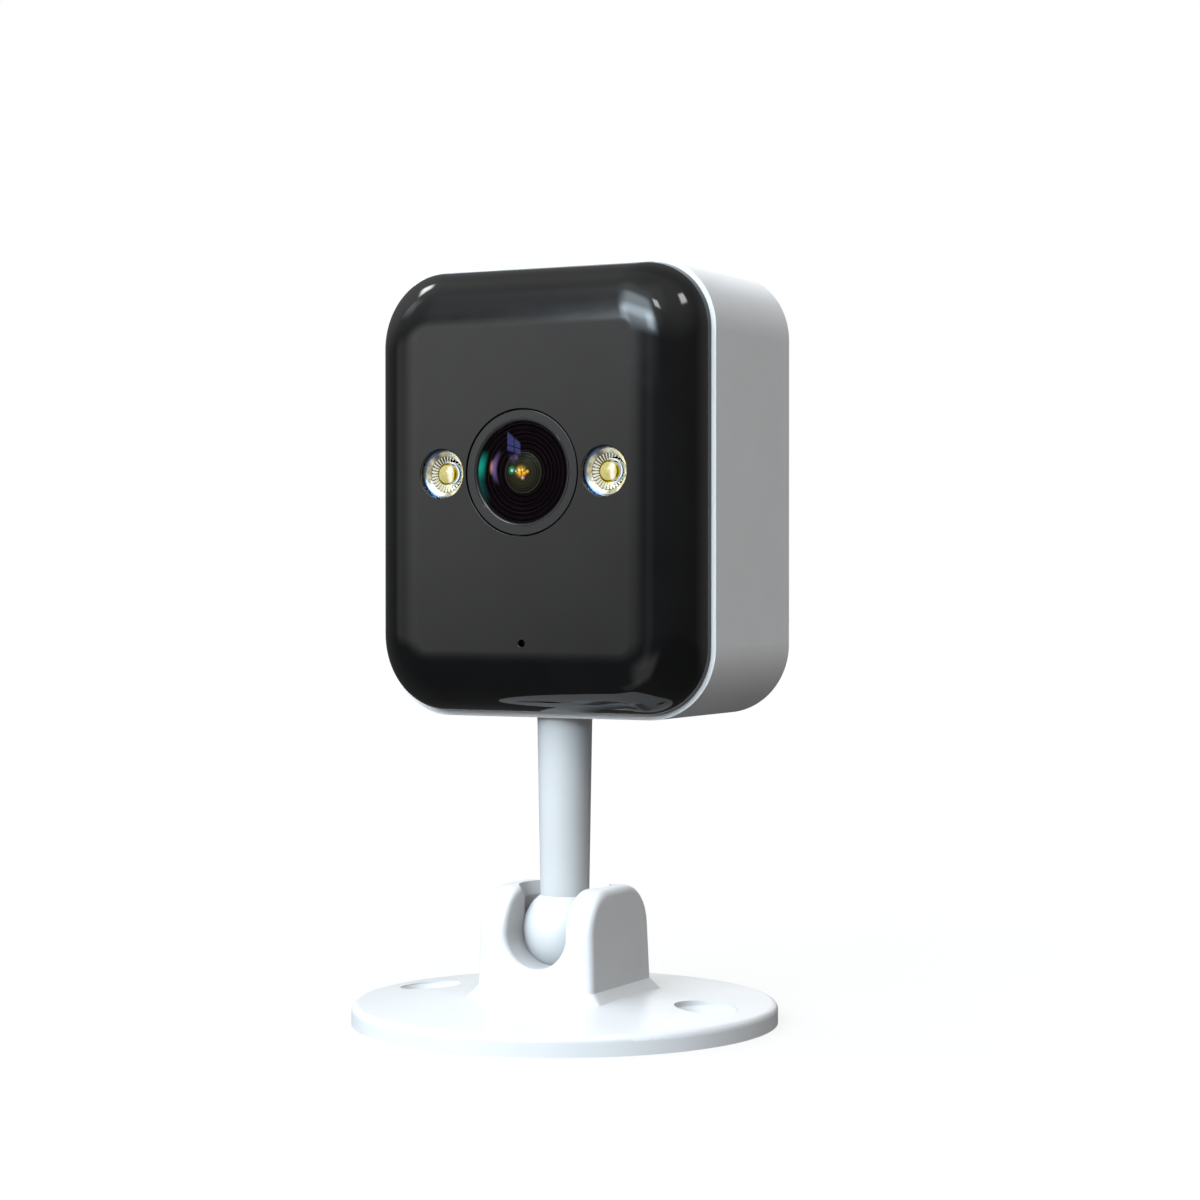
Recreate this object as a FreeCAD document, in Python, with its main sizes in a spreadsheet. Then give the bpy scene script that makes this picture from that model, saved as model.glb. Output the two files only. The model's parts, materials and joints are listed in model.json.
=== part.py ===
import FreeCAD, Part
import math
import os
import re
import Sketcher

from FreeCAD import Placement, Rotation, Vector

# A small indoor camera on a ball-joint stand. Millimetres, +Z up.
# The origin is the centre of the base's underside. The stem's axis is the Z axis and the camera faces -Y.
# "Forward" below is the distance towards -Y, so a larger forward value is nearer to the front.

SIZES = {
    # stand: base plate
    "base_radius": 30.0,
    "edge_height": 1.9,
    "edge_round": 0.9,
    "dome_height": 4.4,
    "dome_curve": 265.0,
    "screw_offset": 22.0,
    "screw_hole_radius": 2.25,
    "sink_radius": 4.4,
    "sink_level": 3.0,
    "pad_radius": 15.0,
    "pad_thickness": 1.0,
    # stand: ball socket
    "skirt_width": 21.2,
    "skirt_depth": 20.2,
    "skirt_level": 3.9,
    "block_level": 5.5,
    "block_width": 18.3,
    "block_depth": 18.6,
    "block_top": 19.2,
    "block_draft": 2.0,
    "cheek_round": 6.0,
    "block_edge_round": 1.0,
    "slot_half": 4.65,
    "slot_edge_round": 0.8,
    "socket_radius": 6.0,
    "throat_radius": 5.7,
    "flare_radius": 6.5,
    "flare_depth": 1.8,
    # stand: ball and stem
    "ball_level": 12.9,
    "ball_radius": 5.95,
    "cup_gap": 0.03,
    "stem_foot_radius": 3.45,
    "stem_top_radius": 3.88,
    "stem_top": 42.85,
    "spigot_radius": 2.5,
    "spigot_top": 46.58,
    "stem_screw_radius": 1.0,
    "stem_screw_depth": 7.0,
    # housing
    "housing_width": 51.6,
    "housing_bottom": 42.9,
    "housing_height": 63.3,
    "corner_radius": 10.0,
    "housing_front": 5.0,
    "housing_rear": 20.2,
    "wall": 2.0,
    "rear_wall": 1.8,
    "rear_round": 0.7,
    "rim_width": 0.7,
    "rim_depth": 1.5,
    "boss_radius": 3.45,
    "boss_top": 46.1,
    "pivot_gap": 0.05,
    # front panel
    "bulge_depth": 7.6,
    "bulge_width": 8.7,
    "panel_wall": 1.6,
    "side_curve": 8.4,
    "shoulder_curve": 6.667,
    "front_curve": 12.305,
    "side_turn": 20.0,
    "front_turn": 70.0,
    # lens
    "lens_level": 76.8,
    "trim_radius": 8.7,
    "trim_bore": 6.95,
    "barrel_head_radius": 6.85,
    "barrel_thread_radius": 5.95,
    "barrel_bore": 4.2,
    "barrel_length": 14.8,
    "fit_gap": 0.05,
    # lights and microphone
    "light_offset": 12.67,
    "light_radius": 3.4,
    "led_board_front": 9.4,
    "led_board_thickness": 1.0,
    "led_board_width": 34.0,
    "led_board_bottom": 63.5,
    "led_board_top": 86.3,
    "led_post_offset": 14.0,
    "led_post_level": 66.5,
    "mic_level": 53.4,
    "mic_hole_radius": 0.5,
    # main board, and its pillars on the housing's rear wall
    "board_front": -7.0,
    "board_thickness": 1.2,
    "board_width": 42.0,
    "board_bottom": 55.0,
    "board_top": 101.0,
    "pillar_offset": 18.5,
    "pillar_low": 58.0,
    "pillar_high": 98.0,
    "pillar_radius": 2.4,
    "board_screw_radius": 0.95,
    # rear face
    "speaker_level": 88.0,
    "speaker_radius": 10.0,
    "grille_hole_radius": 0.7,
    "grille_pitch": 3.1,
    "port_level": 59.0,
    "port_width": 8.94,
    "port_height": 3.26,
    "button_offset": 12.0,
    "button_radius": 1.6,
    "card_level": 76.8,
    "card_width": 12.2,
}

doc = FreeCAD.newDocument("ball_joint_camera")
sheet = doc.addObject("Spreadsheet::Sheet", "Sizes")
for row, (alias, number) in enumerate(SIZES.items(), start=1):
    sheet.set(f"A{row}", alias)
    sheet.set(f"B{row}", str(number))
    sheet.setAlias(f"B{row}", alias)
doc.recompute()

sub_parts = []


# ---------------------------------------------------------------- expressions

def bound(text):
    """Return an expression in which each size's name points at its cell in the sheet."""
    def cell(match):
        word = match.group()
        return f"Sizes.{word}" if word in SIZES else word
    return re.sub(r"[a-z_]+", cell, str(text))


def value(text):
    """Work an expression out from the sheet, as a plain number."""
    return float(sheet.evalExpression(bound(text)))


# ---------------------------------------------------------------- bodies and placements

UPRIGHT = Rotation()
FACING_FRONT = Rotation(Vector(1, 0, 0), 90)
FACING_REAR = Rotation(Vector(1, 0, 0), -90)


def place(piece, across="0", forward="0", level="0", turn=UPRIGHT):
    piece.Placement = Placement(Vector(), turn)
    piece.setExpression("Placement.Base.x", bound(across))
    piece.setExpression("Placement.Base.y", bound(f"-({forward})"))
    piece.setExpression("Placement.Base.z", bound(level))
    return piece


def new_body(label):
    body = doc.addObject("PartDesign::Body", "Body")
    body.Label = label
    return body


def keep(piece, label=None):
    """List a finished sub-part for export."""
    if label:
        piece.Label = label
    sub_parts.append(piece)
    return piece


# ---------------------------------------------------------------- sketches

def new_sketch(body, role, offset="0"):
    sketch = body.newObject("Sketcher::SketchObject", "Sketch")
    plane = next(feature for feature in body.Origin.OriginFeatures if feature.Role == role)
    sketch.AttachmentSupport = [(plane, "")]
    sketch.MapMode = "FlatFace"
    sketch.setExpression("AttachmentOffset.Base.z", bound(offset))
    return sketch


def fix(sketch, kind, geometry, point, text):
    """Hold one coordinate of a point at an expression. kind is DistanceX or DistanceY."""
    size = value(text)
    if abs(size) < 1e-9:
        axis = -2 if kind == "DistanceX" else -1
        sketch.addConstraint(Sketcher.Constraint("PointOnObject", geometry, point, axis))
        return
    if size > 0:
        index = sketch.addConstraint(Sketcher.Constraint(kind, -1, 1, geometry, point, size))
        sketch.setExpression(f"Constraints[{index}]", bound(text))
        return
    index = sketch.addConstraint(Sketcher.Constraint(kind, geometry, point, -1, 1, -size))
    sketch.setExpression(f"Constraints[{index}]", bound(f"-({text})"))


def arc_between(start, end, radius, turn):
    """An arc of under half a circle. turn is 1 for one that bends left on its way, -1 for right."""
    chord = end - start
    middle = (start + end) / 2
    left = Vector(-chord.y, chord.x, 0).normalize()
    sagitta_leg = math.sqrt(max(radius ** 2 - (chord.Length / 2) ** 2, 0))
    centre = middle + left * (turn * sagitta_leg)
    first, last = (start, end) if turn > 0 else (end, start)
    start_angle = math.atan2(first.y - centre.y, first.x - centre.x)
    end_angle = math.atan2(last.y - centre.y, last.x - centre.x)
    return Part.ArcOfCircle(Part.Circle(centre, Vector(0, 0, 1), radius), start_angle, end_angle)


def outline(sketch, corners, closed=True):
    """Draw edges through the corners. (x, y) ends a line; (x, y, radius, turn) ends an arc."""
    points = [Vector(value(corner[0]), value(corner[1]), 0) for corner in corners]
    ends = []
    for index, corner in enumerate(corners):
        if index == 0 and not closed:
            continue
        start, end = points[index - 1], points[index]
        if len(corner) == 2:
            edge = sketch.addGeometry(Part.LineSegment(start, end), False)
            entry, leaving = 1, 2
        else:
            edge = sketch.addGeometry(arc_between(start, end, value(corner[2]), corner[3]), False)
            entry, leaving = (1, 2) if corner[3] > 0 else (2, 1)
        fix(sketch, "DistanceX", edge, leaving, corner[0])
        fix(sketch, "DistanceY", edge, leaving, corner[1])
        if len(corner) > 2:
            index_radius = sketch.addConstraint(Sketcher.Constraint("Radius", edge, value(corner[2])))
            sketch.setExpression(f"Constraints[{index_radius}]", bound(corner[2]))
        ends.append((edge, entry, leaving))
    for before, after in zip(ends, ends[1:]):
        sketch.addConstraint(Sketcher.Constraint("Coincident", before[0], before[2], after[0], after[1]))
    if closed:
        before, after = ends[-1], ends[0]
        sketch.addConstraint(Sketcher.Constraint("Coincident", before[0], before[2], after[0], after[1]))
    else:
        fix(sketch, "DistanceX", ends[0][0], ends[0][1], corners[0][0])
        fix(sketch, "DistanceY", ends[0][0], ends[0][1], corners[0][1])
    return sketch


def dome(radius, height):
    """The radius of the arc that rises by a height from the axis's side, over a radius."""
    return f"((({radius}) ^ 2 + ({height}) ^ 2) / (2 * ({height})))"


def circle(sketch, across, up, radius):
    centre = Vector(value(across), value(up), 0)
    index = sketch.addGeometry(Part.Circle(centre, Vector(0, 0, 1), value(radius)), False)
    fix(sketch, "DistanceX", index, 3, across)
    fix(sketch, "DistanceY", index, 3, up)
    constraint = sketch.addConstraint(Sketcher.Constraint("Radius", index, value(radius)))
    sketch.setExpression(f"Constraints[{constraint}]", bound(radius))


def rectangle(sketch, left, bottom, right, top, radius=None):
    """Draw a rectangle by its sides' places, with rounded corners if a radius is given."""
    if radius is None:
        return outline(sketch, [(left, bottom), (right, bottom), (right, top), (left, top)])
    return outline(sketch, [
        (f"({right}) - {radius}", bottom),
        (right, f"({bottom}) + {radius}", radius, 1),
        (right, f"({top}) - {radius}"),
        (f"({right}) - {radius}", top, radius, 1),
        (f"({left}) + {radius}", top),
        (left, f"({top}) - {radius}", radius, 1),
        (left, f"({bottom}) + {radius}"),
        (f"({left}) + {radius}", bottom, radius, 1),
    ])


# ---------------------------------------------------------------- features

def pad(body, sketch, length, backwards=False, taper="0"):
    """Extrude along the sketch's normal. A negative taper draws the sides in."""
    feature = body.newObject("PartDesign::Pad", "Pad")
    feature.Profile = sketch
    feature.setExpression("Length", bound(length))
    feature.setExpression("TaperAngle", bound(taper))
    feature.Reversed = backwards
    return feature


def checked_cut(body, feature):
    """Make sure that a cut has removed material."""
    before = feature.BaseFeature.Shape.Volume
    doc.recompute()
    if feature.Shape.Volume > before - 1e-4:
        raise RuntimeError(f"{feature.Name} in {body.Label} removes nothing")
    return feature


def pocket(body, sketch, length, backwards=False):
    """Cut against the sketch's normal, or along it if backwards."""
    doc.recompute()
    feature = body.newObject("PartDesign::Pocket", "Pocket")
    feature.Profile = sketch
    feature.setExpression("Length", bound(length))
    feature.Reversed = backwards
    return checked_cut(body, feature)


def revolve(body, sketch):
    feature = body.newObject("PartDesign::Revolution", "Revolution")
    feature.Profile = sketch
    feature.ReferenceAxis = (sketch, ["V_Axis"])
    feature.Angle = 360
    return feature


def groove(body, sketch):
    doc.recompute()
    feature = body.newObject("PartDesign::Groove", "Groove")
    feature.Profile = sketch
    feature.ReferenceAxis = (sketch, ["V_Axis"])
    feature.Angle = 360
    return checked_cut(body, feature)


def round_edges(body, wanted, radius):
    """Fillet the edges of the body's tip for which wanted(edge) is true."""
    doc.recompute()
    base = body.Tip
    names = [f"Edge{index}" for index, edge in enumerate(base.Shape.Edges, start=1) if wanted(edge)]
    feature = body.newObject("PartDesign::Fillet", "Fillet")
    feature.Base = (base, names)
    feature.setExpression("Radius", bound(radius))
    return feature


def loft(body, lower, upper):
    feature = body.newObject("PartDesign::AdditiveLoft", "Loft")
    feature.Profile = lower
    feature.Sections = [upper]
    feature.Ruled = True
    return feature


def sweep(body, profile, path):
    feature = body.newObject("PartDesign::AdditivePipe", "Sweep")
    feature.Profile = profile
    feature.Spine = (path, [])
    return feature


def turned(label, corners, **where):
    """A body turned about its own Z axis from an outline of (radius, height)."""
    body = new_body(label)
    revolve(body, outline(new_sketch(body, "XZ_Plane"), corners))
    return place(body, **where)


def block(label, left, right, front, rear, bottom, top):
    """A plain box between six planes. front and rear are forward distances."""
    box = doc.addObject("Part::Box", "Box")
    box.Label = label
    box.setExpression("Length", bound(f"({right}) - ({left})"))
    box.setExpression("Width", bound(f"({front}) - ({rear})"))
    box.setExpression("Height", bound(f"({top}) - ({bottom})"))
    return place(box, left, front, bottom)


def group(label, pieces):
    """Identical pieces that share one node, as separate solids."""
    compound = doc.addObject("Part::Compound", "Group")
    compound.Links = pieces
    return keep(compound, label)


def cable(label, across, start_forward, start_level, radius, path):
    """A round cable whose path, a list of (rearward, level) corners, lies in a plane across X."""
    body = new_body(label)
    profile = new_sketch(body, "XZ_Plane", start_forward)
    circle(profile, across, start_level, radius)
    line = new_sketch(body, "YZ_Plane", across)
    outline(line, [(f"-({start_forward})", start_level)] + path, closed=False)
    doc.recompute()
    sweep(body, profile, line)
    return keep(body)


# ---------------------------------------------------------------- stand

def base():
    """The base plate, and the socket block that is moulded in one piece with it."""
    body = new_body("base")
    foot = new_sketch(body, "XY_Plane", "skirt_level")
    rectangle(foot, "-block_width / 2", "-block_depth / 2", "block_width / 2", "block_depth / 2")
    pad(body, foot, "block_top - skirt_level", taper="-block_draft")

    def is_top_cross_edge(edge):
        centre = edge.CenterOfMass
        return centre.z > value("block_top") - 0.01 and abs(centre.x) < 0.01
    round_edges(body, is_top_cross_edge, "cheek_round")

    def is_cheek_edge(edge):
        centre = edge.CenterOfMass
        return abs(centre.x) > value("block_width / 2") - 1 and centre.z > value("block_level")
    round_edges(body, is_cheek_edge, "block_edge_round")

    skirt_foot = new_sketch(body, "XY_Plane", "skirt_level")
    rectangle(skirt_foot, "-skirt_width / 2", "-skirt_depth / 2", "skirt_width / 2", "skirt_depth / 2",
              "block_edge_round")
    skirt_top = new_sketch(body, "XY_Plane", "block_level")
    rectangle(skirt_top, "-block_width / 2", "-block_depth / 2", "block_width / 2", "block_depth / 2",
              "block_edge_round")
    loft(body, skirt_foot, skirt_top)

    plate = new_sketch(body, "XZ_Plane")
    revolve(body, outline(plate, [
        ("0", "0"),
        ("base_radius", "0"),
        ("base_radius", "edge_height"),
        ("base_radius - edge_round", "edge_height + edge_round", "edge_round", 1),
        ("0", "dome_height", "dome_curve", 1),
    ]))

    slot = new_sketch(body, "XZ_Plane", "base_radius")
    outline(slot, [
        ("-slot_half", "ball_level"),
        ("0", "ball_level - slot_half", "slot_half", 1),
        ("slot_half", "ball_level", "slot_half", 1),
        ("slot_half", "block_top + 1"),
        ("-slot_half", "block_top + 1"),
    ])
    pocket(body, slot, "base_radius * 2")

    def is_slot_mouth(edge):
        centre = edge.CenterOfMass
        return abs(centre.y) > 8 and abs(centre.x) < value("slot_half") + 0.01 and centre.z > 8
    round_edges(body, is_slot_mouth, "slot_edge_round")

    socket = new_sketch(body, "XZ_Plane")
    throat_rise = "sqrt(socket_radius ^ 2 - throat_radius ^ 2)"
    groove(body, outline(socket, [
        ("0", "ball_level - socket_radius"),
        ("throat_radius", f"ball_level + {throat_rise}", "socket_radius", 1),
        ("throat_radius", "block_top - flare_depth"),
        ("flare_radius", "block_top + 0.01"),
        ("0", "block_top + 0.01"),
    ]))

    sinks = new_sketch(body, "XY_Plane", "dome_height")
    for side in ("screw_offset", "-screw_offset"):
        circle(sinks, side, "0", "sink_radius")
    pocket(body, sinks, "dome_height - sink_level")

    holes = new_sketch(body, "XY_Plane", "sink_level")
    for side in ("screw_offset", "-screw_offset"):
        circle(holes, side, "0", "screw_hole_radius")
    doc.recompute()
    hole = body.newObject("PartDesign::Hole", "Hole")
    hole.Profile = holes
    hole.DepthType = "ThroughAll"
    hole.ThreadType = "None"
    hole.setExpression("Diameter", bound("screw_hole_radius * 2"))
    hole.HoleCutType = "Countersink"
    hole.setExpression("HoleCutDiameter", bound("sink_radius * 2"))
    hole.HoleCutCountersinkAngle = 90
    checked_cut(body, hole)

    recess = new_sketch(body, "XY_Plane")
    circle(recess, "0", "0", "pad_radius + 0.2")
    pocket(body, recess, "pad_thickness", backwards=True)
    keep(body)


def foot_pad():
    pad_disc = doc.addObject("Part::Cylinder", "Cylinder")
    pad_disc.setExpression("Radius", bound("pad_radius"))
    pad_disc.setExpression("Height", bound("pad_thickness"))
    keep(pad_disc, "foot_pad")


def ball():
    sphere = doc.addObject("Part::Sphere", "Sphere")
    sphere.setExpression("Radius", bound("ball_radius"))
    place(sphere, level="ball_level")
    keep(sphere, "ball")


def stem():
    """The tapered stem: a cup that rides on the ball below, and a spigot for the head's boss above."""
    cup = "ball_radius + cup_gap"
    cup_rim = f"ball_level + sqrt(({cup}) ^ 2 - stem_foot_radius ^ 2)"
    screw_hole = "stem_screw_radius + fit_gap"
    keep(turned("stem", [
        (screw_hole, "spigot_top - stem_screw_depth - 1"),
        (screw_hole, "spigot_top"),
        ("spigot_radius", "spigot_top"),
        ("spigot_radius", "stem_top"),
        ("stem_top_radius", "stem_top"),
        ("stem_foot_radius", cup_rim),
        ("0", f"ball_level + {cup}", cup, 1),
        ("0", "spigot_top - stem_screw_depth - 1"),
    ]))


def head_retainers():
    """The washers and the screw that hold the head on the stem's spigot."""
    keep(turned("friction_washer", [
        ("spigot_radius + 0.1", "boss_top + 0.02"),
        ("boss_radius - 0.05", "boss_top + 0.02"),
        ("boss_radius - 0.05", "spigot_top - 0.04"),
        ("spigot_radius + 0.1", "spigot_top - 0.04"),
    ]))
    keep(turned("retaining_washer", [
        ("stem_screw_radius + 0.1", "spigot_top + 0.01"),
        ("boss_radius + 1.1", "spigot_top + 0.01"),
        ("boss_radius + 1.1", "spigot_top + 0.7"),
        ("stem_screw_radius + 0.1", "spigot_top + 0.7"),
    ]))
    keep(screw("stem_screw", "stem_screw_radius", "2.1", "1.6", "stem_screw_depth",
               level="spigot_top + 0.72"))


def screw(label, shank_radius, head_radius, head_height, length, **where):
    """A pan-head screw with a cross recess. Its own Z axis points out of the head."""
    body = new_body(label)
    revolve(body, outline(new_sketch(body, "XZ_Plane"), [
        ("0", f"-({length})"),
        (shank_radius, f"-({length}) + {shank_radius}"),
        (shank_radius, "0"),
        (head_radius, "0"),
        (head_radius, f"{head_height} / 2"),
        ("0", head_height, dome(head_radius, f"{head_height} / 2"), 1),
    ]))
    for reach, width in ((f"{head_radius} * 0.6", "0.2"), ("0.2", f"{head_radius} * 0.6")):
        recess = new_sketch(body, "XY_Plane", head_height)
        rectangle(recess, f"-({reach})", f"-({width})", reach, width)
        pocket(body, recess, f"{head_height} * 0.6")
    return place(body, **where)


# ---------------------------------------------------------------- head: housing and panel

HEAD_MIDDLE = "housing_bottom + housing_height / 2"


def shell_outline(sketch, inset):
    """The head's rounded-rectangle outline, drawn in by an inset."""
    half = f"housing_width / 2 - ({inset})"
    rectangle(sketch, f"-({half})", f"housing_bottom + {inset}", half,
              f"housing_bottom + housing_height - ({inset})", f"(corner_radius - ({inset}))")
    return sketch


def pillar_places():
    return [(side, level) for side in ("pillar_offset", "-pillar_offset")
            for level in ("pillar_low", "pillar_high")]


def housing():
    """The white housing: an open-fronted box, with the stem boss and the board's pillars inside."""
    body = new_body("housing")
    pad(body, shell_outline(new_sketch(body, "XZ_Plane", "housing_front"), "0"),
        "housing_front + housing_rear", backwards=True)

    def is_rear_edge(edge):
        return edge.BoundBox.YMin > value("housing_rear") - 0.01
    round_edges(body, is_rear_edge, "rear_round")
    pocket(body, shell_outline(new_sketch(body, "XZ_Plane", "housing_front"), "wall"),
           "housing_front + housing_rear - rear_wall")
    pocket(body, shell_outline(new_sketch(body, "XZ_Plane", "housing_front"), "rim_width"), "rim_depth")

    boss = new_sketch(body, "XY_Plane", "housing_bottom + wall / 2")
    circle(boss, "0", "0", "boss_radius")
    pad(body, boss, "boss_top - housing_bottom - wall / 2")
    pivot = new_sketch(body, "XY_Plane", "boss_top")
    circle(pivot, "0", "0", "spigot_radius + pivot_gap")
    pocket(body, pivot, "boss_top - housing_bottom + 1")

    board_rear = "board_front - board_thickness"
    pillars = new_sketch(body, "XZ_Plane", board_rear)
    for across, level in pillar_places():
        circle(pillars, across, level, "pillar_radius")
    pad(body, pillars, f"housing_rear - rear_wall / 2 + {board_rear}", backwards=True)
    pilots = new_sketch(body, "XZ_Plane", board_rear)
    for across, level in pillar_places():
        circle(pilots, across, level, "board_screw_radius + fit_gap")
    pocket(body, pilots, "7")

    speaker_ring = new_sketch(body, "XZ_Plane", "-(housing_rear - rear_wall - 2.5)")
    circle(speaker_ring, "0", "speaker_level", "speaker_radius + 1.2")
    circle(speaker_ring, "0", "speaker_level", "speaker_radius + 0.2")
    pad(body, speaker_ring, "2.5 + rear_wall / 2", backwards=True)

    openings = new_sketch(body, "XZ_Plane", "-housing_rear")
    circle(openings, "0", "speaker_level", "grille_hole_radius")
    for ring, count in ((1, 6), (2, 12)):
        for index in range(count):
            angle = 360 * index / count
            circle(openings, f"grille_pitch * {ring} * cos({angle})",
                   f"speaker_level + grille_pitch * {ring} * sin({angle})", "grille_hole_radius")
    circle(openings, "button_offset", "port_level", "button_radius + 0.1")
    half_width = "port_width / 2 + 0.3"
    half_height = "port_height / 2 + 0.3"
    rectangle(openings, f"-({half_width})", f"port_level - ({half_height})", half_width,
              f"port_level + {half_height}", "(port_height / 2)")
    pocket(body, openings, "rear_wall + 0.5", backwards=True)

    card_slot = new_sketch(body, "YZ_Plane", "-housing_width / 2")
    rectangle(card_slot, "8.5", "card_level - card_width / 2", "9.7", "card_level + card_width / 2",
              "0.4")
    pocket(body, card_slot, "wall * 1.5", backwards=True)
    keep(body)


def panel_profile(sketch):
    """The bulged wall's section, as an inset from the panel's outline and a height in front of the housing.

    The outside is three tangent arcs: a shallow one up the side, a tight shoulder, and a shallow one that
    runs out into the flat front. The inside is the same, drawn in by the wall.
    """
    left = "-housing_width / 2 + rim_width"
    side_sweep = "side_turn"
    front_sweep = "front_turn"
    first = (f"side_curve * (1 - cos({side_sweep}))", f"side_curve * sin({side_sweep})")
    second = (f"{first[0]} + shoulder_curve * (cos({side_sweep}) - cos({front_sweep}))",
              f"{first[1]} + shoulder_curve * (sin({front_sweep}) - sin({side_sweep}))")
    inner_first = (f"{first[0]} + panel_wall * cos({side_sweep})",
                   f"{first[1]} - panel_wall * sin({side_sweep})")
    inner_second = (f"{second[0]} + panel_wall * cos({front_sweep})",
                    f"{second[1]} - panel_wall * sin({front_sweep})")
    seat = "-(rim_depth - 0.05)"
    corners = [
        ("panel_wall", seat),
        ("0", seat),
        ("0", "0"),
        (*first, "side_curve", -1),
        (*second, "shoulder_curve", -1),
        ("bulge_width", "bulge_depth", "front_curve", -1),
        ("bulge_width", "bulge_depth - panel_wall"),
        (*inner_second, "(front_curve - panel_wall)", 1),
        (*inner_first, "(shoulder_curve - panel_wall)", 1),
        ("panel_wall", "0", "(side_curve - panel_wall)", 1),
    ]
    # Corners are (inset, height). The sketch lies across the panel's left side: x across, y forward.
    return outline(sketch, [
        (f"{left} + {corner[0]}", f"-(housing_front + {corner[1]})", *corner[2:3],
         *[-turn for turn in corner[3:]])
        for corner in corners
    ])


def front_panel():
    """The crowned front panel: a bulged rim swept round the outline, and a flat centre."""
    body = new_body("front_panel")
    path = shell_outline(new_sketch(body, "XZ_Plane", "housing_front"), "rim_width")
    profile = panel_profile(new_sketch(body, "XY_Plane", HEAD_MIDDLE))
    doc.recompute()
    sweep(body, profile, path)

    centre = shell_outline(new_sketch(body, "XZ_Plane", "housing_front + bulge_depth"),
                           "rim_width + bulge_width")
    pad(body, centre, "panel_wall", backwards=True)

    posts = new_sketch(body, "XZ_Plane", "led_board_front + 0.02")
    for side in ("led_post_offset", "-led_post_offset"):
        circle(posts, side, "led_post_level", "1.9")
    pad(body, posts, "housing_front + bulge_depth - panel_wall / 2 - led_board_front")
    pilots = new_sketch(body, "XZ_Plane", "led_board_front + 0.02")
    for side in ("led_post_offset", "-led_post_offset"):
        circle(pilots, side, "led_post_level", "0.7")
    pocket(body, pilots, "housing_front + bulge_depth - panel_wall - led_board_front - fit_gap",
           backwards=True)

    openings = new_sketch(body, "XZ_Plane", "housing_front + bulge_depth")
    circle(openings, "0", "lens_level", "trim_radius + fit_gap")
    circle(openings, "light_offset", "lens_level", "light_radius + fit_gap")
    circle(openings, "-light_offset", "lens_level", "light_radius + fit_gap")
    circle(openings, "0", "mic_level", "mic_hole_radius")
    pocket(body, openings, "panel_wall + 0.1")
    keep(body)


# ---------------------------------------------------------------- head: lens

def lens_piece(label, corners):
    """A turned piece on the lens's axis. Heights are in front of the panel's flat face."""
    return keep(turned(label, corners, forward="housing_front + bulge_depth", level="lens_level",
                       turn=FACING_FRONT))


def lens():
    lens_piece("lens_trim_ring", [
        ("trim_bore", "-2.6"),
        ("trim_radius + 0.45", "-2.6"),
        ("trim_radius + 0.45", "-panel_wall - 0.05"),
        ("trim_radius", "-panel_wall - 0.05"),
        ("trim_radius", "-0.5"),
        ("trim_radius - 0.1", "-0.4"),
        ("trim_radius - 0.1", "-0.08"),
        ("trim_bore + 0.45", "-0.08"),
        ("trim_bore + 0.45", "-0.2"),
        ("trim_bore + 0.35", "-0.2"),
        ("trim_bore + 0.35", "-0.08"),
        ("trim_bore + 0.15", "-0.08"),
        ("trim_bore", "-0.23"),
    ])
    lens_piece("lens_front_element", [
        ("0", "0.3"),
        ("6.4", "-0.5", dome("6.4", "0.8"), -1),
        ("barrel_head_radius", "-0.5"),
        ("barrel_head_radius", "-0.2"),
        ("0", "0.9", dome("barrel_head_radius", "1.1"), 1),
    ])
    lens_piece("lens_baffle", [
        ("2.95", "-1.45"),
        ("6.35", "-1.45"),
        ("6.35", "-0.55"),
        ("2.95", "-0.95"),
    ])
    lens_piece("lens_second_element", [
        ("0", "-2.3"),
        ("3.4", "-2.3"),
        ("3.4", "-1.55"),
        ("2.85", "-1.55"),
        ("2.85", "-1.05"),
        ("0", "-0.5", dome("2.85", "0.55"), 1),
    ])
    lens_piece("lens_barrel", [
        ("barrel_head_radius", "-0.55"),
        ("6.4", "-0.55"),
        ("6.4", "-1.5"),
        ("3.45", "-1.5"),
        ("3.45", "-2.35"),
        ("2.4", "-2.35"),
        ("2.4", "-4.1"),
        ("barrel_bore", "-4.1"),
        ("barrel_bore", "-barrel_length"),
        ("barrel_thread_radius", "-barrel_length"),
        ("barrel_thread_radius", "-5.2"),
        ("barrel_head_radius", "-5.2"),
    ])
    seated = "barrel_bore - fit_gap"
    lens_piece("lens_third_element", [
        ("0", "-6.95"),
        (seated, "-6.95"),
        (seated, "-4.9"),
        ("0", "-4.15", dome(seated, "0.75"), 1),
    ])
    lens_piece("lens_spacer", [
        ("3.3", "-9.62"),
        (seated, "-9.62"),
        (seated, "-7"),
        ("3.3", "-7"),
    ])
    lens_piece("lens_rear_element", [
        ("0", "-12.5"),
        (seated, "-12.5"),
        (seated, "-10"),
        ("0", "-9.05", dome(seated, "0.95"), 1),
    ])
    lens_piece("lens_retaining_ring", [
        ("3.3", "-13.6"),
        (seated, "-13.6"),
        (seated, "-12.55"),
        ("3.3", "-12.55"),
    ])


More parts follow.
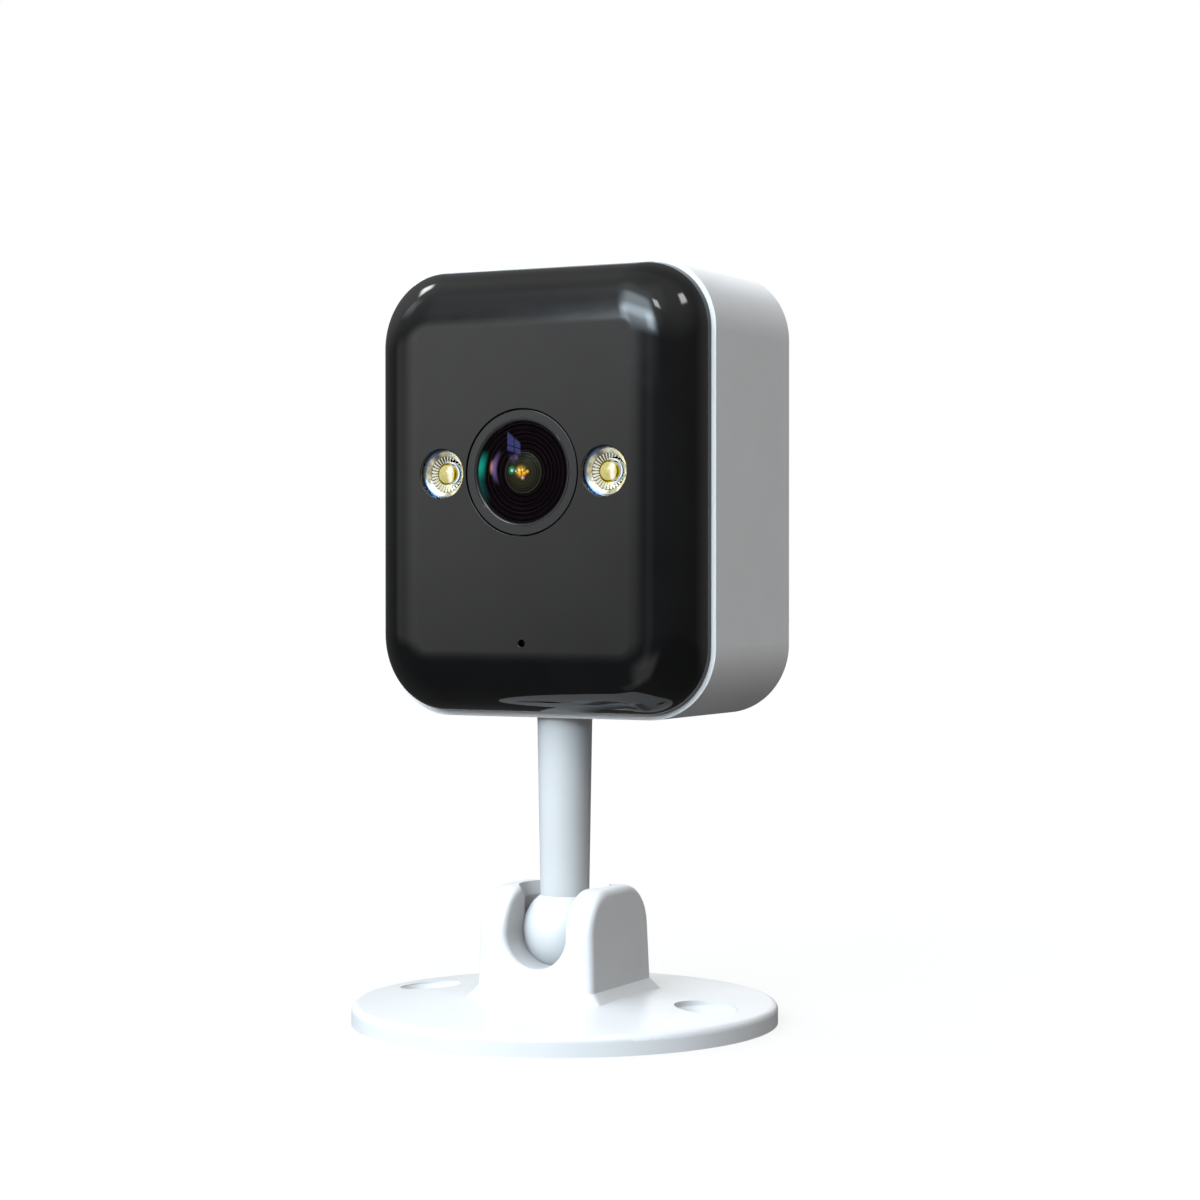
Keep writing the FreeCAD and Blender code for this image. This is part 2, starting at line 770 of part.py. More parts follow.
def lens_holder():
    """The holder on the main board that the lens barrel screws into, over the sensor."""
    body = new_body("lens_holder")
    foot = new_sketch(body, "XZ_Plane", "board_front + 0.02")
    rectangle(foot, "-8", "lens_level - 8", "8", "lens_level + 8", "1")
    pad(body, foot, "3.6")
    tube = new_sketch(body, "XZ_Plane", "board_front + 3")
    circle(tube, "0", "lens_level", "barrel_thread_radius + 1.5")
    pad(body, tube, "5.6")
    bore = new_sketch(body, "XZ_Plane", "board_front + 8.6")
    circle(bore, "0", "lens_level", "barrel_thread_radius + fit_gap")
    pocket(body, bore, "4.2")
    window = new_sketch(body, "XZ_Plane", "board_front + 8.6")
    circle(window, "0", "lens_level", "3.8")
    pocket(body, window, "8.6")
    chamber = new_sketch(body, "XZ_Plane", "board_front + 0.02")
    rectangle(chamber, "-5", "lens_level - 5", "5", "lens_level + 5", "0.5")
    pocket(body, chamber, "3.58", backwards=True)
    keep(body)


def image_sensor():
    keep(block("ir_filter", "-4.8", "4.8", "board_front + 3.58", "board_front + 3.18",
               "lens_level - 4.8", "lens_level + 4.8"))
    keep(block("image_sensor", "-4.5", "4.5", "board_front + 1.3", "board_front + 0.01",
               "lens_level - 4.5", "lens_level + 4.5"))


# ---------------------------------------------------------------- head: lights and microphone

def lights():
    """Both lights: window, reflector and emitter, one behind the other."""
    kinds = {
        "led_windows": [
            ("0", "-0.95"),
            ("light_radius", "-0.95"),
            ("light_radius", "-0.3"),
            ("0", "-0.1", dome("light_radius", "0.2"), 1),
        ],
        "led_reflectors": [
            ("3.2", "-1.0"),
            ("1.45", "-2.3"),
            ("1.45", "-2.7"),
            ("light_radius", "-2.7"),
            ("light_radius", "-1.0"),
        ],
        "led_emitters": [
            ("0", "-3.18"),
            ("2", "-3.18"),
            ("2", "-2.75"),
            ("1.35", "-2.75"),
            ("1.35", "-1.75"),
            ("0", "-1.3", dome("1.35", "0.45"), 1),
        ],
    }
    for label, corners in kinds.items():
        group(label, [
            turned(f"{label}_{side}", corners, across=across, forward="housing_front + bulge_depth",
                   level="lens_level", turn=FACING_FRONT)
            for side, across in (("right", "light_offset"), ("left", "-light_offset"))
        ])


def led_board():
    body = new_body("led_board")
    card = new_sketch(body, "XZ_Plane", "led_board_front")
    rectangle(card, "-led_board_width / 2", "led_board_bottom", "led_board_width / 2", "led_board_top", "3")
    pad(body, card, "led_board_thickness", backwards=True)
    openings = new_sketch(body, "XZ_Plane", "led_board_front")
    circle(openings, "0", "lens_level", "barrel_head_radius + 0.35")
    for side in ("led_post_offset", "-led_post_offset"):
        circle(openings, side, "led_post_level", "0.8")
    pocket(body, openings, "led_board_thickness + 0.1")
    keep(body)
    group("led_board_screws", [
        screw(f"led_screw_{index}", "0.65", "1.4", "1.1", "2.5", across=side,
              forward="led_board_front - led_board_thickness - 0.02", level="led_post_level",
              turn=FACING_REAR)
        for index, side in enumerate(("led_post_offset", "-led_post_offset"))
    ])


def microphone():
    """The microphone capsule in its rubber boot, behind the hole in the panel."""
    keep(turned("mic_boot", [
        ("2.05", "8.4"),
        ("2.6", "8.4"),
        ("2.6", "10.6"),
        ("0.7", "10.6"),
        ("0.7", "10.1"),
        ("2.05", "10.1"),
    ], level="mic_level", turn=FACING_FRONT))
    keep(turned("microphone", [
        ("0", "8.6"),
        ("2", "8.6"),
        ("2", "10.08"),
        ("0", "10.08"),
    ], level="mic_level", turn=FACING_FRONT))


# ---------------------------------------------------------------- head: electronics

BOARD_REAR = "board_front - board_thickness - 0.02"


def on_board_rear(label, left, right, bottom, top, height):
    """A box-shaped component on the rear of the main board."""
    return block(label, left, right, BOARD_REAR, f"{BOARD_REAR} - {height}", bottom, top)


def main_board():
    body = new_body("main_board")
    card = new_sketch(body, "XZ_Plane", "board_front")
    rectangle(card, "-board_width / 2", "board_bottom", "board_width / 2", "board_top", "2")
    pad(body, card, "board_thickness - 0.01", backwards=True)
    holes = new_sketch(body, "XZ_Plane", "board_front")
    for across, level in pillar_places():
        circle(holes, across, level, "board_screw_radius + 0.15")
    pocket(body, holes, "board_thickness + 0.1")
    keep(body)
    group("board_screws", [
        screw(f"board_screw_{index}", "board_screw_radius", "1.9", "1.3", "7", across=across,
              forward="board_front + 0.01", level=level, turn=FACING_FRONT)
        for index, (across, level) in enumerate(pillar_places())
    ])


def chips():
    keep(on_board_rear("processor", "1", "11", "80", "90", "1.1"))
    keep(on_board_rear("memory_chip", "-16", "-8", "88", "94", "0.9"))
    keep(on_board_rear("wifi_module", "7", "19", "64", "76", "1.7"))
    group("power_parts", [
        on_board_rear("inductor", "-15.5", "-10.5", "57", "62", "2.6"),
        on_board_rear("capacitor_low", "-9", "-7", "62.5", "65.5", "1.4"),
        on_board_rear("capacitor_high", "-5.5", "-3.5", "62.5", "65.5", "1.4"),
    ])


def card_socket():
    """The memory card's socket, open towards the slot in the housing's side."""
    body = new_body("microsd_socket")
    box = new_sketch(body, "YZ_Plane", "-board_width / 2 - 0.5")
    rectangle(box, "8.23", "card_level - 7", "10", "card_level + 7")
    pad(body, box, "14")
    mouth = new_sketch(body, "YZ_Plane", "-board_width / 2 - 0.5")
    rectangle(mouth, "8.6", "card_level - 5.6", "9.5", "card_level + 5.6")
    pocket(body, mouth, "12", backwards=True)
    keep(body)


def usb_socket():
    """The upright power socket: a shell round a hollow with a contact tongue in its middle."""
    body = new_body("usb_socket")
    reach = "housing_rear - 0.4"
    shell = new_sketch(body, "XZ_Plane", BOARD_REAR)
    rectangle(shell, "-port_width / 2", "port_level - port_height / 2", "port_width / 2",
              "port_level + port_height / 2", "1.55")
    pad(body, shell, f"{reach} + {BOARD_REAR}", backwards=True)
    hollow = new_sketch(body, "XZ_Plane", f"-({reach})")
    rectangle(hollow, "-port_width / 2 + 0.3", "port_level - port_height / 2 + 0.3", "port_width / 2 - 0.3",
              "port_level + port_height / 2 - 0.3", "1.25")
    rectangle(hollow, "-3.35", "port_level - 0.35", "3.35", "port_level + 0.35")
    pocket(body, hollow, "6.5", backwards=True)
    keep(body)


def reset_button():
    """The button in the rear wall, and the switch that it presses."""
    keep(turned("reset_button", [
        ("0", "12.95"),
        ("0.9", "12.95"),
        ("0.9", "housing_rear - rear_wall - 0.9"),
        ("button_radius + 0.8", "housing_rear - rear_wall - 0.9"),
        ("button_radius + 0.8", "housing_rear - rear_wall - 0.05"),
        ("button_radius", "housing_rear - rear_wall - 0.05"),
        ("button_radius", "housing_rear - 0.1"),
        ("0", "housing_rear - 0.1"),
    ], across="button_offset", level="port_level", turn=FACING_REAR))
    keep(turned("reset_plunger", [
        ("0", "10.7"),
        ("1", "10.7"),
        ("1", "12.93"),
        ("0", "12.93"),
    ], across="button_offset", level="port_level", turn=FACING_REAR))
    body = new_body("reset_switch")
    case = new_sketch(body, "XZ_Plane", BOARD_REAR)
    rectangle(case, "button_offset - 3", "port_level - 3", "button_offset + 3", "port_level + 3", "0.3")
    pad(body, case, "3.5", backwards=True)
    well = new_sketch(body, "XZ_Plane", f"{BOARD_REAR} - 3.5")
    circle(well, "button_offset", "port_level", "1.08")
    pocket(body, well, "1.6", backwards=True)
    keep(body)


def speaker():
    """The loudspeaker: gasket, basket, diaphragm and magnet, stacked against the rear wall's inside."""
    kinds = {
        "speaker_gasket": [
            ("8.5", "-0.4"),
            ("speaker_radius", "-0.4"),
            ("speaker_radius", "-0.02"),
            ("8.5", "-0.02"),
        ],
        "speaker_frame": [
            ("5.6", "-4.28"),
            ("6.6", "-4.28"),
            ("speaker_radius", "-2.9"),
            ("speaker_radius", "-0.42"),
            ("8.9", "-0.42"),
            ("8.9", "-2.3"),
            ("5.6", "-3.6"),
        ],
        "speaker_magnet": [
            ("0", "-5.5"),
            ("5.55", "-5.5"),
            ("5.55", "-3.7"),
            ("0", "-3.7"),
        ],
        "speaker_diaphragm": [
            ("0", "-1.6"),
            ("8.85", "-2.2"),
            ("8.85", "-1.9"),
            ("0", "-1.3"),
        ],
    }
    for label, corners in kinds.items():
        keep(turned(label, corners, forward="-(housing_rear - rear_wall)", level="speaker_level",
                    turn=FACING_REAR))


def wireless_antenna():
    keep(block("wifi_antenna", "-15", "15", "-1", "-8",
               "housing_bottom + housing_height - wall - 0.25",
               "housing_bottom + housing_height - wall - 0.05"))


def cables():
    """The four cables. Each lies in one plane, with its bends as arcs."""
    cable("led_cable", "-11", "led_board_front - led_board_thickness - 0.02", "70", "0.7", [
        ("-2", "70"),
        ("1", "67", "3", -1),
        ("1", "66"),
        ("4", "63", "3", 1),
        ("-board_front - 0.02", "63"),
    ])
    cable("mic_cable", "0", "8.38", "mic_level", "0.5", [
        ("-4", "mic_level"),
        ("-1", "mic_level + 3", "3", 1),
        ("-1", "mic_level + 4"),
        ("2", "mic_level + 7", "3", -1),
        ("-board_front - 0.02", "mic_level + 7"),
    ])
    against_magnet = "housing_rear - rear_wall - 6.02"
    cable("speaker_cable", "-3", "-8.25", "78", "0.5", [
        (f"{against_magnet} - 1.5", "78"),
        (against_magnet, "79.5", "1.5", 1),
        (against_magnet, "84"),
    ])
    cable("antenna_cable", "12", "-5", "103.3", "0.4", [
        ("8.95", "103.3"),
        ("10.45", "101.8", "1.5", -1),
        ("10.45", "68"),
    ])


# ---------------------------------------------------------------- build, check and write

def build():
    base()
    foot_pad()
    ball()
    stem()
    head_retainers()
    housing()
    front_panel()
    lens()
    lens_holder()
    image_sensor()
    lights()
    led_board()
    microphone()
    main_board()
    chips()
    card_socket()
    usb_socket()
    reset_button()
    speaker()
    wireless_antenna()
    cables()
    doc.recompute()


def check():
    for item in doc.Objects:
        if {"Invalid", "Error"} & set(item.State):
            raise RuntimeError(f"{item.Name} ({item.Label}) has failed: {item.State}")
    for piece in sub_parts:
        if piece.Shape.isNull() or not piece.Shape.isValid() or not piece.Shape.Solids:
            raise RuntimeError(f"{piece.Label} has no valid solid")


def write():
    os.makedirs("parts", exist_ok=True)
    for piece in sub_parts:
        piece.Shape.exportStep(f"parts/{piece.Label}.step")
        box = piece.Shape.BoundBox
        print(f"{piece.Label}: {len(piece.Shape.Solids)} solid(s), {piece.Shape.Volume:.1f} mm3, "
              f"x {box.XMin:.2f}..{box.XMax:.2f} y {box.YMin:.2f}..{box.YMax:.2f} "
              f"z {box.ZMin:.2f}..{box.ZMax:.2f}")


build()
check()
write()
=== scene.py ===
import json
import math

import bmesh
import bpy
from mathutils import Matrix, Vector


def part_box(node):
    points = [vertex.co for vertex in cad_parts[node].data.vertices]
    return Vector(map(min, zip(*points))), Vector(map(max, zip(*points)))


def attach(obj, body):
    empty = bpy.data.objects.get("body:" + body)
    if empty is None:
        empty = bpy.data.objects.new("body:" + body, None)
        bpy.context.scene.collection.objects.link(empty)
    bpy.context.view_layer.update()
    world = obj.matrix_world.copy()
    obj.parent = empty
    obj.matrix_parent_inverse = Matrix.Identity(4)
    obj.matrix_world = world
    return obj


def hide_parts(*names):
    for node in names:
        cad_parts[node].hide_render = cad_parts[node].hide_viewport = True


# The looks of a small camera on a ball-joint stand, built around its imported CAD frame. Metres, +Z up.
# The camera head faces -Y, and its stem stands on the Z axis.

MM = 0.001

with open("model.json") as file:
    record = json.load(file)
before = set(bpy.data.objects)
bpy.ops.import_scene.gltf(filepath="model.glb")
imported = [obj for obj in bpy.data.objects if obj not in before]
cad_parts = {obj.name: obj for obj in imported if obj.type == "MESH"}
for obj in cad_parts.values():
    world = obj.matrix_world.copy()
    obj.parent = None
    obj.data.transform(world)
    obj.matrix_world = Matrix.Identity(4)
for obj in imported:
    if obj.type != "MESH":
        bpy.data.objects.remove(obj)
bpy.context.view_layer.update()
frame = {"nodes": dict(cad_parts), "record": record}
nodes = frame["nodes"]


# ---------------------------------------------------------------- shader helpers

NOISE_LOW, NOISE_HIGH = 0.3, 0.7      # where most of a noise texture's values lie
GLASS_IOR = 1.5
GLASS_ROUGHNESS = 0.02
GLASS_SHINE = 0.8                     # share of the full mirror sheen


class NodeTree:
    """A node tree under construction."""

    def add(self, kind, **values):
        node = self.tree.nodes.new(kind)
        for key, value in values.items():
            setattr(node, key, value)
        return node

    def link(self, start, end):
        self.tree.links.new(start, end)

    def feed(self, socket, value):
        """Give an input a fixed value or another node's result."""
        if isinstance(value, bpy.types.NodeSocket):
            self.link(value, socket)
        else:
            socket.default_value = value

    def maths(self, operation, *values):
        node = self.add("ShaderNodeMath", operation=operation)
        for socket, value in zip(node.inputs, values):
            self.feed(socket, value)
        return node.outputs[0]

    def step(self, value, start, end):
        """A smooth step from 0 at the start to 1 at the end."""
        node = self.add("ShaderNodeMapRange", interpolation_type="SMOOTHSTEP")
        node.inputs["From Min"].default_value = start
        node.inputs["From Max"].default_value = end
        self.link(value, node.inputs["Value"])
        return node.outputs["Result"]

    def away(self, value, centre):
        return self.maths("ABSOLUTE", self.maths("SUBTRACT", value, centre))

    def scaled(self, colour, factor):
        node = self.add("ShaderNodeVectorMath", operation="SCALE")
        self.feed(node.inputs[0], colour)
        self.link(factor, node.inputs["Scale"])
        return node.outputs[0]

    def plus(self, first, second):
        node = self.add("ShaderNodeVectorMath", operation="ADD")
        self.feed(node.inputs[0], first)
        self.feed(node.inputs[1], second)
        return node.outputs[0]


class Shader(NodeTree):
    """A node material under construction, with the texture space fixed to the piece."""

    def __init__(self, name):
        self.material = bpy.data.materials.new(name)
        self.material.use_nodes = True
        self.tree = self.material.node_tree
        self.surface = self.tree.nodes["Principled BSDF"]
        self.output = self.tree.nodes["Material Output"]
        self.place = self.tree.nodes.new("ShaderNodeTexCoord").outputs["Object"]

    def set(self, **values):
        """Set inputs of the surface, named as words joined by underscores."""
        for key, value in values.items():
            name = key.replace("_", " ").title().replace("Ior", "IOR")
            self.surface.inputs[name].default_value = value

    def noise(self, size, detail=2.0):
        """Noise whose blobs are about size metres across."""
        node = self.add("ShaderNodeTexNoise")
        node.inputs["Scale"].default_value = 1 / size
        node.inputs["Detail"].default_value = detail
        self.link(self.place, node.inputs["Vector"])
        return node.outputs["Fac"]

    def ramp(self, factor, low, high):
        """Map noise onto a range of numbers."""
        node = self.add("ShaderNodeMapRange")
        node.inputs["From Min"].default_value = NOISE_LOW
        node.inputs["From Max"].default_value = NOISE_HIGH
        node.inputs["To Min"].default_value = low
        node.inputs["To Max"].default_value = high
        self.link(factor, node.inputs["Value"])
        return node.outputs["Result"]

    def tint(self, factor, first, second):
        """Map noise onto a range of colours."""
        node = self.add("ShaderNodeValToRGB")
        low, high = node.color_ramp.elements
        low.color, low.position = (*first, 1), NOISE_LOW
        high.color, high.position = (*second, 1), NOISE_HIGH
        self.link(factor, node.inputs["Fac"])
        return node.outputs["Color"]

    def bump(self, height, strength, distance):
        node = self.add("ShaderNodeBump")
        node.inputs["Strength"].default_value = strength
        node.inputs["Distance"].default_value = distance
        self.link(height, node.inputs["Height"])
        self.link(node.outputs["Normal"], self.surface.inputs["Normal"])

    def colour(self, socket):
        self.link(socket, self.surface.inputs["Base Color"])

    def rough(self, socket):
        self.link(socket, self.surface.inputs["Roughness"])

    def face_place(self, across, up):
        """A point's place on the head's face, in mm from (across, up): rightwards, upwards, radius, angle."""
        axes = self.add("ShaderNodeSeparateXYZ")
        self.link(self.place, axes.inputs[0])
        right = self.maths("MULTIPLY", self.maths("SUBTRACT", axes.outputs["X"], across), 1 / MM)
        above = self.maths("MULTIPLY", self.maths("SUBTRACT", axes.outputs["Z"], up), 1 / MM)
        squares = [self.maths("MULTIPLY", distance, distance) for distance in (right, above)]
        radius = self.maths("SQRT", self.maths("ADD", *squares))
        return right, above, radius, self.maths("ARCTAN2", above, right)

    def hump(self, value, centre, half_width):
        """1 at a centre, falling smoothly to 0 at half a width to either side."""
        return self.step(self.away(value, centre), half_width, 0)

    def masked(self, first, *others):
        """The product of several strengths."""
        for other in others:
            first = self.maths("MULTIPLY", first, other)
        return first

    def paint(self, layers, under=(0, 0, 0)):
        """Sum (colour, strength socket) layers over an even colour."""
        total = under
        for colour, strength in layers:
            total = self.plus(total, self.scaled(colour, strength))
        return total

    def quiet_bounces(self, share):
        """Pass on only a share of the light that the surface would bounce onto its neighbours."""
        factor = self.add("ShaderNodeMix", data_type="RGBA", blend_type="MULTIPLY")
        link = self.surface.inputs["Base Color"].links[0]
        colours = node_colours(factor.inputs)
        self.link(link.from_socket, colours[0])
        colours[1].default_value = (share, share, share, 1)
        self.link(self.add("ShaderNodeLightPath").outputs["Is Diffuse Ray"], factor.inputs[0])
        self.colour(node_colours(factor.outputs)[0])

    def glow(self, socket):
        self.link(socket, self.surface.inputs["Emission Color"])
        self.surface.inputs["Emission Strength"].default_value = 1.0

    def see_through(self, painted, shine=0.0):
        """Turn the surface into a clear skin: what lies behind it, a painted glow, and any mirror sheen."""
        outside = self.maths("SUBTRACT", 1, self.add("ShaderNodeNewGeometry").outputs["Backfacing"])
        skin = self.add("ShaderNodeBsdfTransparent").outputs[0]
        if shine:
            mirror = self.add("ShaderNodeBsdfGlossy")
            mirror.inputs["Roughness"].default_value = GLASS_ROUGHNESS
            edge = self.add("ShaderNodeFresnel")
            edge.inputs["IOR"].default_value = GLASS_IOR
            blend = self.add("ShaderNodeMixShader")
            self.link(self.masked(edge.outputs[0], shine, outside), blend.inputs["Fac"])
            self.link(skin, blend.inputs[1])
            self.link(mirror.outputs[0], blend.inputs[2])
            skin = blend.outputs[0]
        glow = self.add("ShaderNodeEmission")
        self.link(painted, glow.inputs["Color"])
        self.link(outside, glow.inputs["Strength"])
        both = self.add("ShaderNodeAddShader")
        self.link(skin, both.inputs[0])
        self.link(glow.outputs[0], both.inputs[1])
        self.link(both.outputs[0], self.output.inputs["Surface"])


def node_colours(sockets):
    """The colour sockets among a Mix node's, which also has the same ones for numbers and vectors."""
    return [socket for socket in sockets if socket.type == "RGBA"]


def shifted(colour, amount):
    return tuple(min(1, max(0, channel + amount)) for channel in colour)


GRAIN, GRAIN_DEPTH, SPREAD = 0.12 * MM, 0.004 * MM, 0.012      # the skin of an ordinary moulding


def moulded_plastic(name, colour, roughness, grain=GRAIN, depth=GRAIN_DEPTH, spread=SPREAD):
    """Injection-moulded plastic: even colour, a fine skin texture and slightly uneven gloss."""
    shader = Shader(name)
    cloud = shader.noise(9 * MM, 3)
    shader.colour(shader.tint(cloud, shifted(colour, -spread), shifted(colour, spread)))
    shader.rough(shader.ramp(shader.noise(3 * MM, 4), roughness - 0.04, roughness + 0.04))
    shader.bump(shader.noise(grain, 2), 0.6, depth)
    return shader


def metal(name, colour, roughness):
    """Plated or turned metal with fine surface grain."""
    shader = Shader(name)
    shader.set(metallic=1.0)
    shader.colour(shader.tint(shader.noise(1.5 * MM, 4), shifted(colour, -0.05), shifted(colour, 0.03)))
    shader.rough(shader.ramp(shader.noise(0.6 * MM, 3), roughness - 0.08, roughness + 0.08))
    shader.bump(shader.noise(0.08 * MM, 2), 0.4, 0.003 * MM)
    return shader


# ---------------------------------------------------------------- materials

BOUNCE_SHARE = 0.2                  # how much light the whites pass on to each other
POLISH, POLISH_DEPTH, POLISH_SPREAD = 1.4 * MM, 0.0002 * MM, 0.001      # the skin of a polished moulding

WHITES = [
    # slot, colour, roughness
    ("white_plastic", (0.815, 0.82, 0.825), 0.36),
    # the stem's white is a darker copy, painted shade for the head's shadow over it; the head's is a lighter
    # copy, painted light
    ("white_stem_painted_shade", (0.68, 0.685, 0.69), 0.34),
    ("white_head_painted_light", (0.88, 0.88, 0.88), 0.32),
]
PLASTICS = [
    # slot, material name, colour, roughness, grain size, grain depth, colour spread
    ("black_gloss", "black_gloss", (0.004, 0.004, 0.0042), 0.06, POLISH, POLISH_DEPTH, POLISH_SPREAD),
    ("black_trim", "black_trim", (0.011, 0.011, 0.0112), 0.07, POLISH, POLISH_DEPTH, POLISH_SPREAD),
    ("black_plastic", "black_satin", (0.022, 0.022, 0.023), 0.42, GRAIN, GRAIN_DEPTH, SPREAD),
    ("chip_package", "chip_resin", (0.03, 0.03, 0.032), 0.55, GRAIN, GRAIN_DEPTH, SPREAD),
    ("rubber", "soft_rubber", (0.035, 0.035, 0.036), 0.75, 0.2 * MM, 0.01 * MM, SPREAD),
    ("nylon", "natural_nylon", (0.72, 0.69, 0.6), 0.45, GRAIN, GRAIN_DEPTH, SPREAD),
    ("speaker_plastic", "speaker_frame", (0.04, 0.04, 0.042), 0.5, GRAIN, GRAIN_DEPTH, SPREAD),
    ("speaker_cone", "pressed_cone", (0.1, 0.09, 0.08), 0.8, 0.15 * MM, 0.02 * MM, SPREAD),
    ("cable_sheath", "cable_sheath", (0.05, 0.05, 0.052), 0.5, GRAIN, GRAIN_DEPTH, SPREAD),
    ("circuit_board", "solder_mask", (0.01, 0.09, 0.045), 0.3, GRAIN, GRAIN_DEPTH, SPREAD),
    ("phosphor", "phosphor", (0.85, 0.66, 0.08), 0.35, GRAIN, GRAIN_DEPTH, SPREAD),
]
METALS = [
    # slot, material name, colour, roughness
    ("steel", "plated_steel", (0.6, 0.6, 0.61), 0.28),
    ("reflector", "metallised", (0.9, 0.9, 0.91), 0.08),
    ("antenna_foil", "antenna_foil", (0.75, 0.45, 0.2), 0.35),
]


def make_materials():
    """The materials by slot, with three more, among them a lighter and a darker copy of the white plastic
    that carry painted light and painted shade.
    """
    made = {}
    for slot, colour, roughness in WHITES:
        white = moulded_plastic(slot, colour, roughness)
        white.quiet_bounces(BOUNCE_SHARE)
        made[slot] = white.material
    for slot, name, *look in PLASTICS:
        made[slot] = moulded_plastic(name, *look).material
    for slot, name, colour, roughness in METALS:
        made[slot] = metal(name, colour, roughness).material
    for slot in ("lens_glass", "clear_window"):
        glass = Shader(slot)
        # a faint painted glow, patchy by noise, over the clear glass
        faint = glass.maths("MULTIPLY", glass.noise(1 * MM), 0.004)
        glass.see_through(glass.paint([((1, 1, 1), faint)]), shine=GLASS_SHINE)
        made[slot] = glass.material
    return made


MATERIALS = make_materials()
# the head and reset button take the lighter white with painted light, the stem the darker one with painted
# shade
LIT_AND_SHADED_WHITES = {"housing": "white_head_painted_light", "reset_button": "white_head_painted_light", "stem": "white_stem_painted_shade"}


def dress_cad_nodes():
    for part in frame["record"]["subparts"]:
        mesh_object = nodes[part["node"]]
        mesh_object.data.materials.clear()
        mesh_object.data.materials.append(MATERIALS[LIT_AND_SHADED_WHITES.get(part["node"], part["material_slot"])])


# ---------------------------------------------------------------- mesh helpers

def middle(node):
    low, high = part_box(node)
    return (low + high) / 2


FACE_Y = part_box("front_panel")[0].y
WINDOWS_LOW, WINDOWS_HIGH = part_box("led_windows")
WINDOW_RADIUS = (WINDOWS_HIGH.z - WINDOWS_LOW.z) / 2
LIGHT_X = WINDOWS_HIGH.x - WINDOW_RADIUS
LENS = (0.0, middle("lens_trim_ring").z)
LIGHTS = [(LIGHT_X, LENS[1]), (-LIGHT_X, LENS[1])]


def new_piece(name, mesh, material, body, replaced):
    """Put a finished mesh in the scene, riding on a CAD body, in place of the named nodes."""
    piece = bpy.data.objects.new(name, mesh)
    bpy.context.scene.collection.objects.link(piece)
    mesh.materials.clear()
    mesh.materials.append(material)
    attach(piece, body)
    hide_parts(*replaced)


# ---------------------------------------------------------------- front panel

PANEL_WALL = 1.6 * MM
CORNER_RADII = [                # how the corners' radius runs with the inset, both in mm
    (0.0, 9.3),
    (1.2, 9.9),
    (2.4, 9.3),
    (8.7, 1.2),
]
SECTION_ARCS = [                # the bulge's section, side to flat: radius, and the slope where each arc ends
    (8.4 * MM, math.radians(20)),
    (6.667 * MM, math.radians(70)),
    (12.305 * MM, math.radians(90)),
]
CORNER_STEPS = 28
PROFILE_STEPS = 45
RADIUS_BLUR = 0.6                  # mm of inset over which a change of the corners' radius is spread
TRIM_HOLE = 8.75 * MM              # radius of the lens hole
WINDOW_GAP = 0.05 * MM
MICROPHONE_HOLE = 0.5 * MM         # radius
HOLE_EDGE = 0.07 * MM              # radius of the holes' rounded edges


def corner_radius(inset):
    """The corners' radius in mm at an inset in mm, on straight runs between the listed radii."""
    inset = min(max(inset, CORNER_RADII[0][0]), CORNER_RADII[-1][0])
    for (start, first), (end, last) in zip(CORNER_RADII, CORNER_RADII[1:]):
        if inset <= end:
            return first + (last - first) * (inset - start) / (end - start)


def panel_ring(half_width, half_height, centre_z, inset, y, outward, ahead):
    """The panel's rounded rectangle drawn in by an inset, as points with their surface normals."""
    around = [corner_radius(inset / MM + RADIUS_BLUR * share) for share in (-1, -0.5, 0, 0.5, 1)]
    radius = sum(around) / len(around) * MM
    growth = (around[-1] - around[0]) / (2 * RADIUS_BLUR)
    ring = []
    for quarter, (side, up) in enumerate(((1, 1), (-1, 1), (-1, -1), (1, -1))):
        centre = Vector((side * (half_width - inset - radius), y,
                         centre_z + up * (half_height - inset - radius)))
        for step in range(CORNER_STEPS + 1):
            angle = math.radians(90) * (quarter + step / CORNER_STEPS)
            out = Vector((math.cos(angle), 0, math.sin(angle)))
            spread = (1 + growth) * (abs(out.x) + abs(out.z)) - growth
            normal = out * outward + Vector((0, -1, 0)) * ahead * spread
            ring.append((centre + out * radius, normal.normalized()))
    return ring


def panel_section():
    """The bulge's section as (inset, rise, outward, forward), evenly spaced by slope."""
    section = []
    inset = rise = slope = 0.0
    for step in range(PROFILE_STEPS + 1):
        goal = math.radians(90) * step / PROFILE_STEPS
        for radius, end in SECTION_ARCS:
            until = min(goal, end)
            if until > slope:
                inset += radius * (math.cos(slope) - math.cos(until))
                rise += radius * (math.sin(until) - math.sin(slope))
                slope = until
        section.append((inset, rise, math.cos(slope), math.sin(slope)))
    return section


